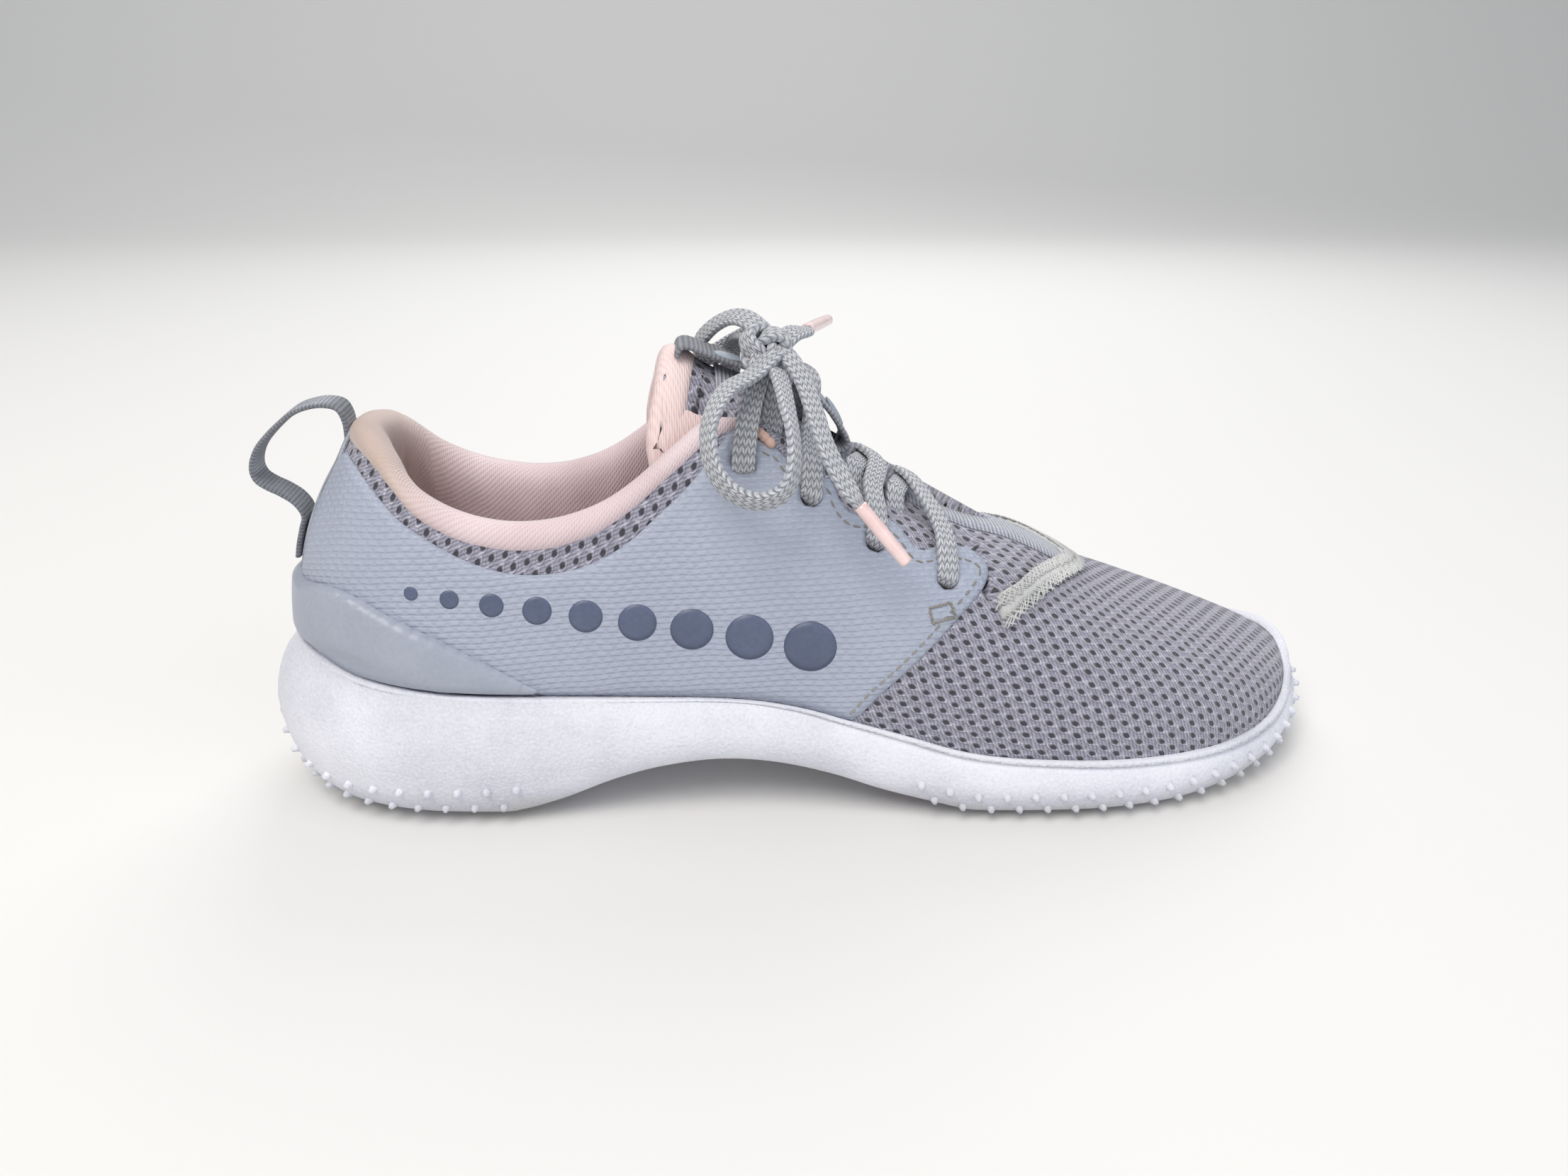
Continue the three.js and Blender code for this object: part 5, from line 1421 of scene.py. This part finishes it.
def buildMark():
    # graded row of printed dots, thin discs that follow the film
    ring, shares = 28, (0.35, 0.7, 1.0)
    a = np.arange(ring) / ring * 2 * np.pi
    start, end = np.array(mark["start"]), np.array(mark["end"])
    pts, faces = [], []
    for k in range(mark["count"]):
        u = k / (mark["count"] - 1)
        middle = start + (end - start) * (0.72 * u + 0.28 * u * u)
        r = mark["small"] + (mark["large"] - mark["small"]) * u
        circle = np.stack([np.cos(a), np.sin(a)], -1)
        flat = np.vstack([middle[None]] + [middle + share * r * circle for share in shares])
        onFilm, ns = onSide(flat, -1, 0.85)
        m, first = len(flat), len(pts)
        pts += (onFilm + ns * 0.05).tolist() + (onFilm - ns * 0.3).tolist()
        disc = [(0, 1 + c, 1 + (c + 1) % ring) for c in range(ring)]
        disc += [[1 + corner for corner in f[::-1]] for f in gridFaces(len(shares), ring, True)]
        faces += [[first + i for i in f] for f in disc] + [[first + m + i for i in f[::-1]] for f in disc]
        rim = range(1 + (len(shares) - 1) * ring, m)
        faces += [[first + i, first + m + i, first + m + j, first + j] for i,
                  j in zip(rim, np.roll(rim, -1).tolist())]
    return makePiece("printedMark", np.array(pts), faces, material["print"])


buildMark()
print("stage: stitching and print")

# what each piece stands for, rides on and takes its finish from
rides = {
    "midsoleFoam": ("upper", "midsole_foam", ["midsole"]), "soleNubs": ("upper", "midsole_foam", []),
    "vampMesh": ("upper", "spacer_mesh", ["vamp_mesh"]), "collarMesh": ("upper", "spacer_mesh",
        ["collar_mesh"]),
    "filmLateral": ("upper", "film", ["quarter_film_lateral"]),
    "filmMedial": ("upper", "film", ["quarter_film_medial"]),
    "heelClip": ("upper", "clip_tpu", ["heel_clip"]), "heelTape": ("upper", "tape", ["heel_tape"]),
    "throatSeam": ("upper", "tape", ["throat_seam"]), "toeGuard": ("upper", "midsole_foam", []),
    "eyestayStitches": ("upper", "film", []), "eyestayBartacks": ("upper", "film", []),
    "coverStitches": ("upper", "tape", []), "printedMark": ("upper", "film", []),
    "collarBartacks": ("upper", "pink_lining", []), "strapPads": ("tongue", "tape", []),
    "collarLining": ("upper", "pink_lining", ["collar_lining", "collar_foam", "heel_counter"]),
    "vampLining": ("upper", "pink_lining", ["vamp_lining", "toe_puff"]),
    "sockliner": ("upper", "pink_lining", ["sockliner"]), "tongueMesh": ("tongue", "spacer_mesh",
        ["tongue_mesh"]), "tonguePadding": ("tongue", "pink_lining", ["tongue_lining", "tongue_foam"]),
    "tongueRibbon": ("tongue", "tape", ["tongue_ribbon"]), "tongueKeeper": ("tongue", "tape",
        ["tongue_keeper"]), "heelLoop": ("pull_loop", "tape", ["heel_loop"]),
    "laceUnder1": ("upper", "lace_cotton", ["lace_under_1"]),
    "laceUnder2": ("upper", "lace_cotton", ["lace_under_2"]),
    "laceUnder3": ("upper", "lace_cotton", ["lace_under_3"]),
    "laceOver1": ("upper", "lace_cotton", ["lace_over_1"]), "laceOver2": ("upper", "lace_cotton",
        ["lace_over_2"]), "laceOver3": ("upper", "lace_cotton", ["lace_over_3"]),
    "laceRiseLateral": ("upper", "lace_cotton", ["lace_rise_lateral"]),
    "laceRiseMedial": ("upper", "lace_cotton", ["lace_rise_medial"]),
    "laceKnot": ("upper", "lace_cotton", ["lace_knot"]), "laceBowNear": ("upper", "lace_cotton",
        ["lace_bow_near"]), "laceBowFar": ("upper", "lace_cotton", ["lace_bow_far"]),
    "laceEndNear": ("upper", "lace_cotton", ["lace_end_near"]),
    "laceEndFar": ("upper", "lace_cotton", ["lace_end_far"]),
    "agletNear": ("upper", "aglet_plastic", ["aglet_near"]),
    "agletFar": ("upper", "aglet_plastic", ["aglet_far"]),
}
for name, (body, slotName, nodes) in rides.items():
    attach(pieces[name], body)
    if nodes:
        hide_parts(*nodes)

# floor, lights and camera
room = {"front": -6.0, "back": 2.6, "bend": 1.2, "high": 5.0, "half": 7.0}


def buildFloor():
    me = bpy.data.meshes.new("floor")
    bend, back = room["bend"], room["back"]
    turn = [(back - bend + bend * math.sin(a), bend - bend * math.cos(a))
            for a in np.linspace(0.1, math.pi / 2, 16)]
    rise = [(room["front"], 0.0), (back - bend, 0.0)] + turn + [(back, room["high"])]
    points = [(x, y, z) for y, z in rise for x in (-room["half"], room["half"])]
    me.from_pydata(points, [], [(2 * k, 2 * k + 1, 2 * k + 3, 2 * k + 2) for k in range(len(rise) - 1)])
    me.polygons.foreach_set("use_smooth", [True] * len(me.polygons))
    obj = bpy.data.objects.new("floor", me)
    bpy.context.scene.collection.objects.link(obj)
    me.materials.append(newMaterial("Painted floor", "#e4e3e1", 0.7)[0])


def areaLight(name, place, target, size, power, hexCode):
    light = bpy.data.lights.new(name, "AREA")
    light.size = size
    light.energy = power
    light.color = linear(hexCode)[:3]
    obj = bpy.data.objects.new(name, light)
    bpy.context.scene.collection.objects.link(obj)
    obj.location = place
    obj.rotation_euler = (Vector(target) - Vector(place)).to_track_quat("-Z", "Y").to_euler()


view = {"place": (-39.8, -286.0, 160.7), "pitch": 22.0, "yaw": -6.3, "roll": 0.5, "lens": 27.03,
        "shift": (0.0, 0.0)}


def buildCamera():
    cam = bpy.data.cameras.new("camera")
    cam.lens = view["lens"]
    cam.sensor_width = 36
    cam.sensor_fit = "HORIZONTAL"
    cam.shift_x, cam.shift_y = view["shift"]
    cam.clip_start = 0.01
    obj = bpy.data.objects.new("camera", cam)
    bpy.context.scene.collection.objects.link(obj)
    t, y, r = (math.radians(view[k]) for k in ("pitch", "yaw", "roll"))
    forward = Vector((0, math.cos(t), -math.sin(t)))
    up = Vector((0, math.sin(t), math.cos(t)))
    right = Vector((1, 0, 0))
    spin = lambda v: Vector((v.x * math.cos(y) - v.y * math.sin(y), v.x * math.sin(y) + v.y * math.cos(y),
                             v.z))
    forward, up, right = spin(forward), spin(up), spin(right)
    right2 = right * math.cos(r) + up * math.sin(r)
    up2 = -right * math.sin(r) + up * math.cos(r)
    m = [[right2[i], up2[i], -forward[i], inFrame(view["place"])[i]] for i in range(3)] + [[0, 0, 0, 1]]
    obj.matrix_world = Matrix(m)
    bpy.context.scene.camera = obj


buildFloor()
lights = {  # place and target in metres, size in metres, power in watts, colour
    "key": ((-0.5, -0.7, 1.3), (0, 0, 0.05), 0.9, 16, "#fffaf4"),
            "fill": ((0.9, -0.9, 0.7), (0, 0, 0.05), 1.2, 5, "#f2f6ff"),
            "rim": ((0.2, 1.0, 1.0), (0, 0, 0.06), 1.0, 7, "#ffffff"),
            "wash": ((0.0, 0.9, 2.2), (0.0, 2.6, 0.9), 1.8, 10, "#ffffff"),
}
for name, setup in lights.items():
    areaLight(name, *setup)
world = bpy.data.worlds.new("room")
bpy.context.scene.world = world
world.use_nodes = True
world.node_tree.nodes["Background"].inputs[0].default_value = linear("#dfe3e8")
world.node_tree.nodes["Background"].inputs[1].default_value = 0.55
buildCamera()
bpy.context.scene.view_settings.view_transform = "Standard"
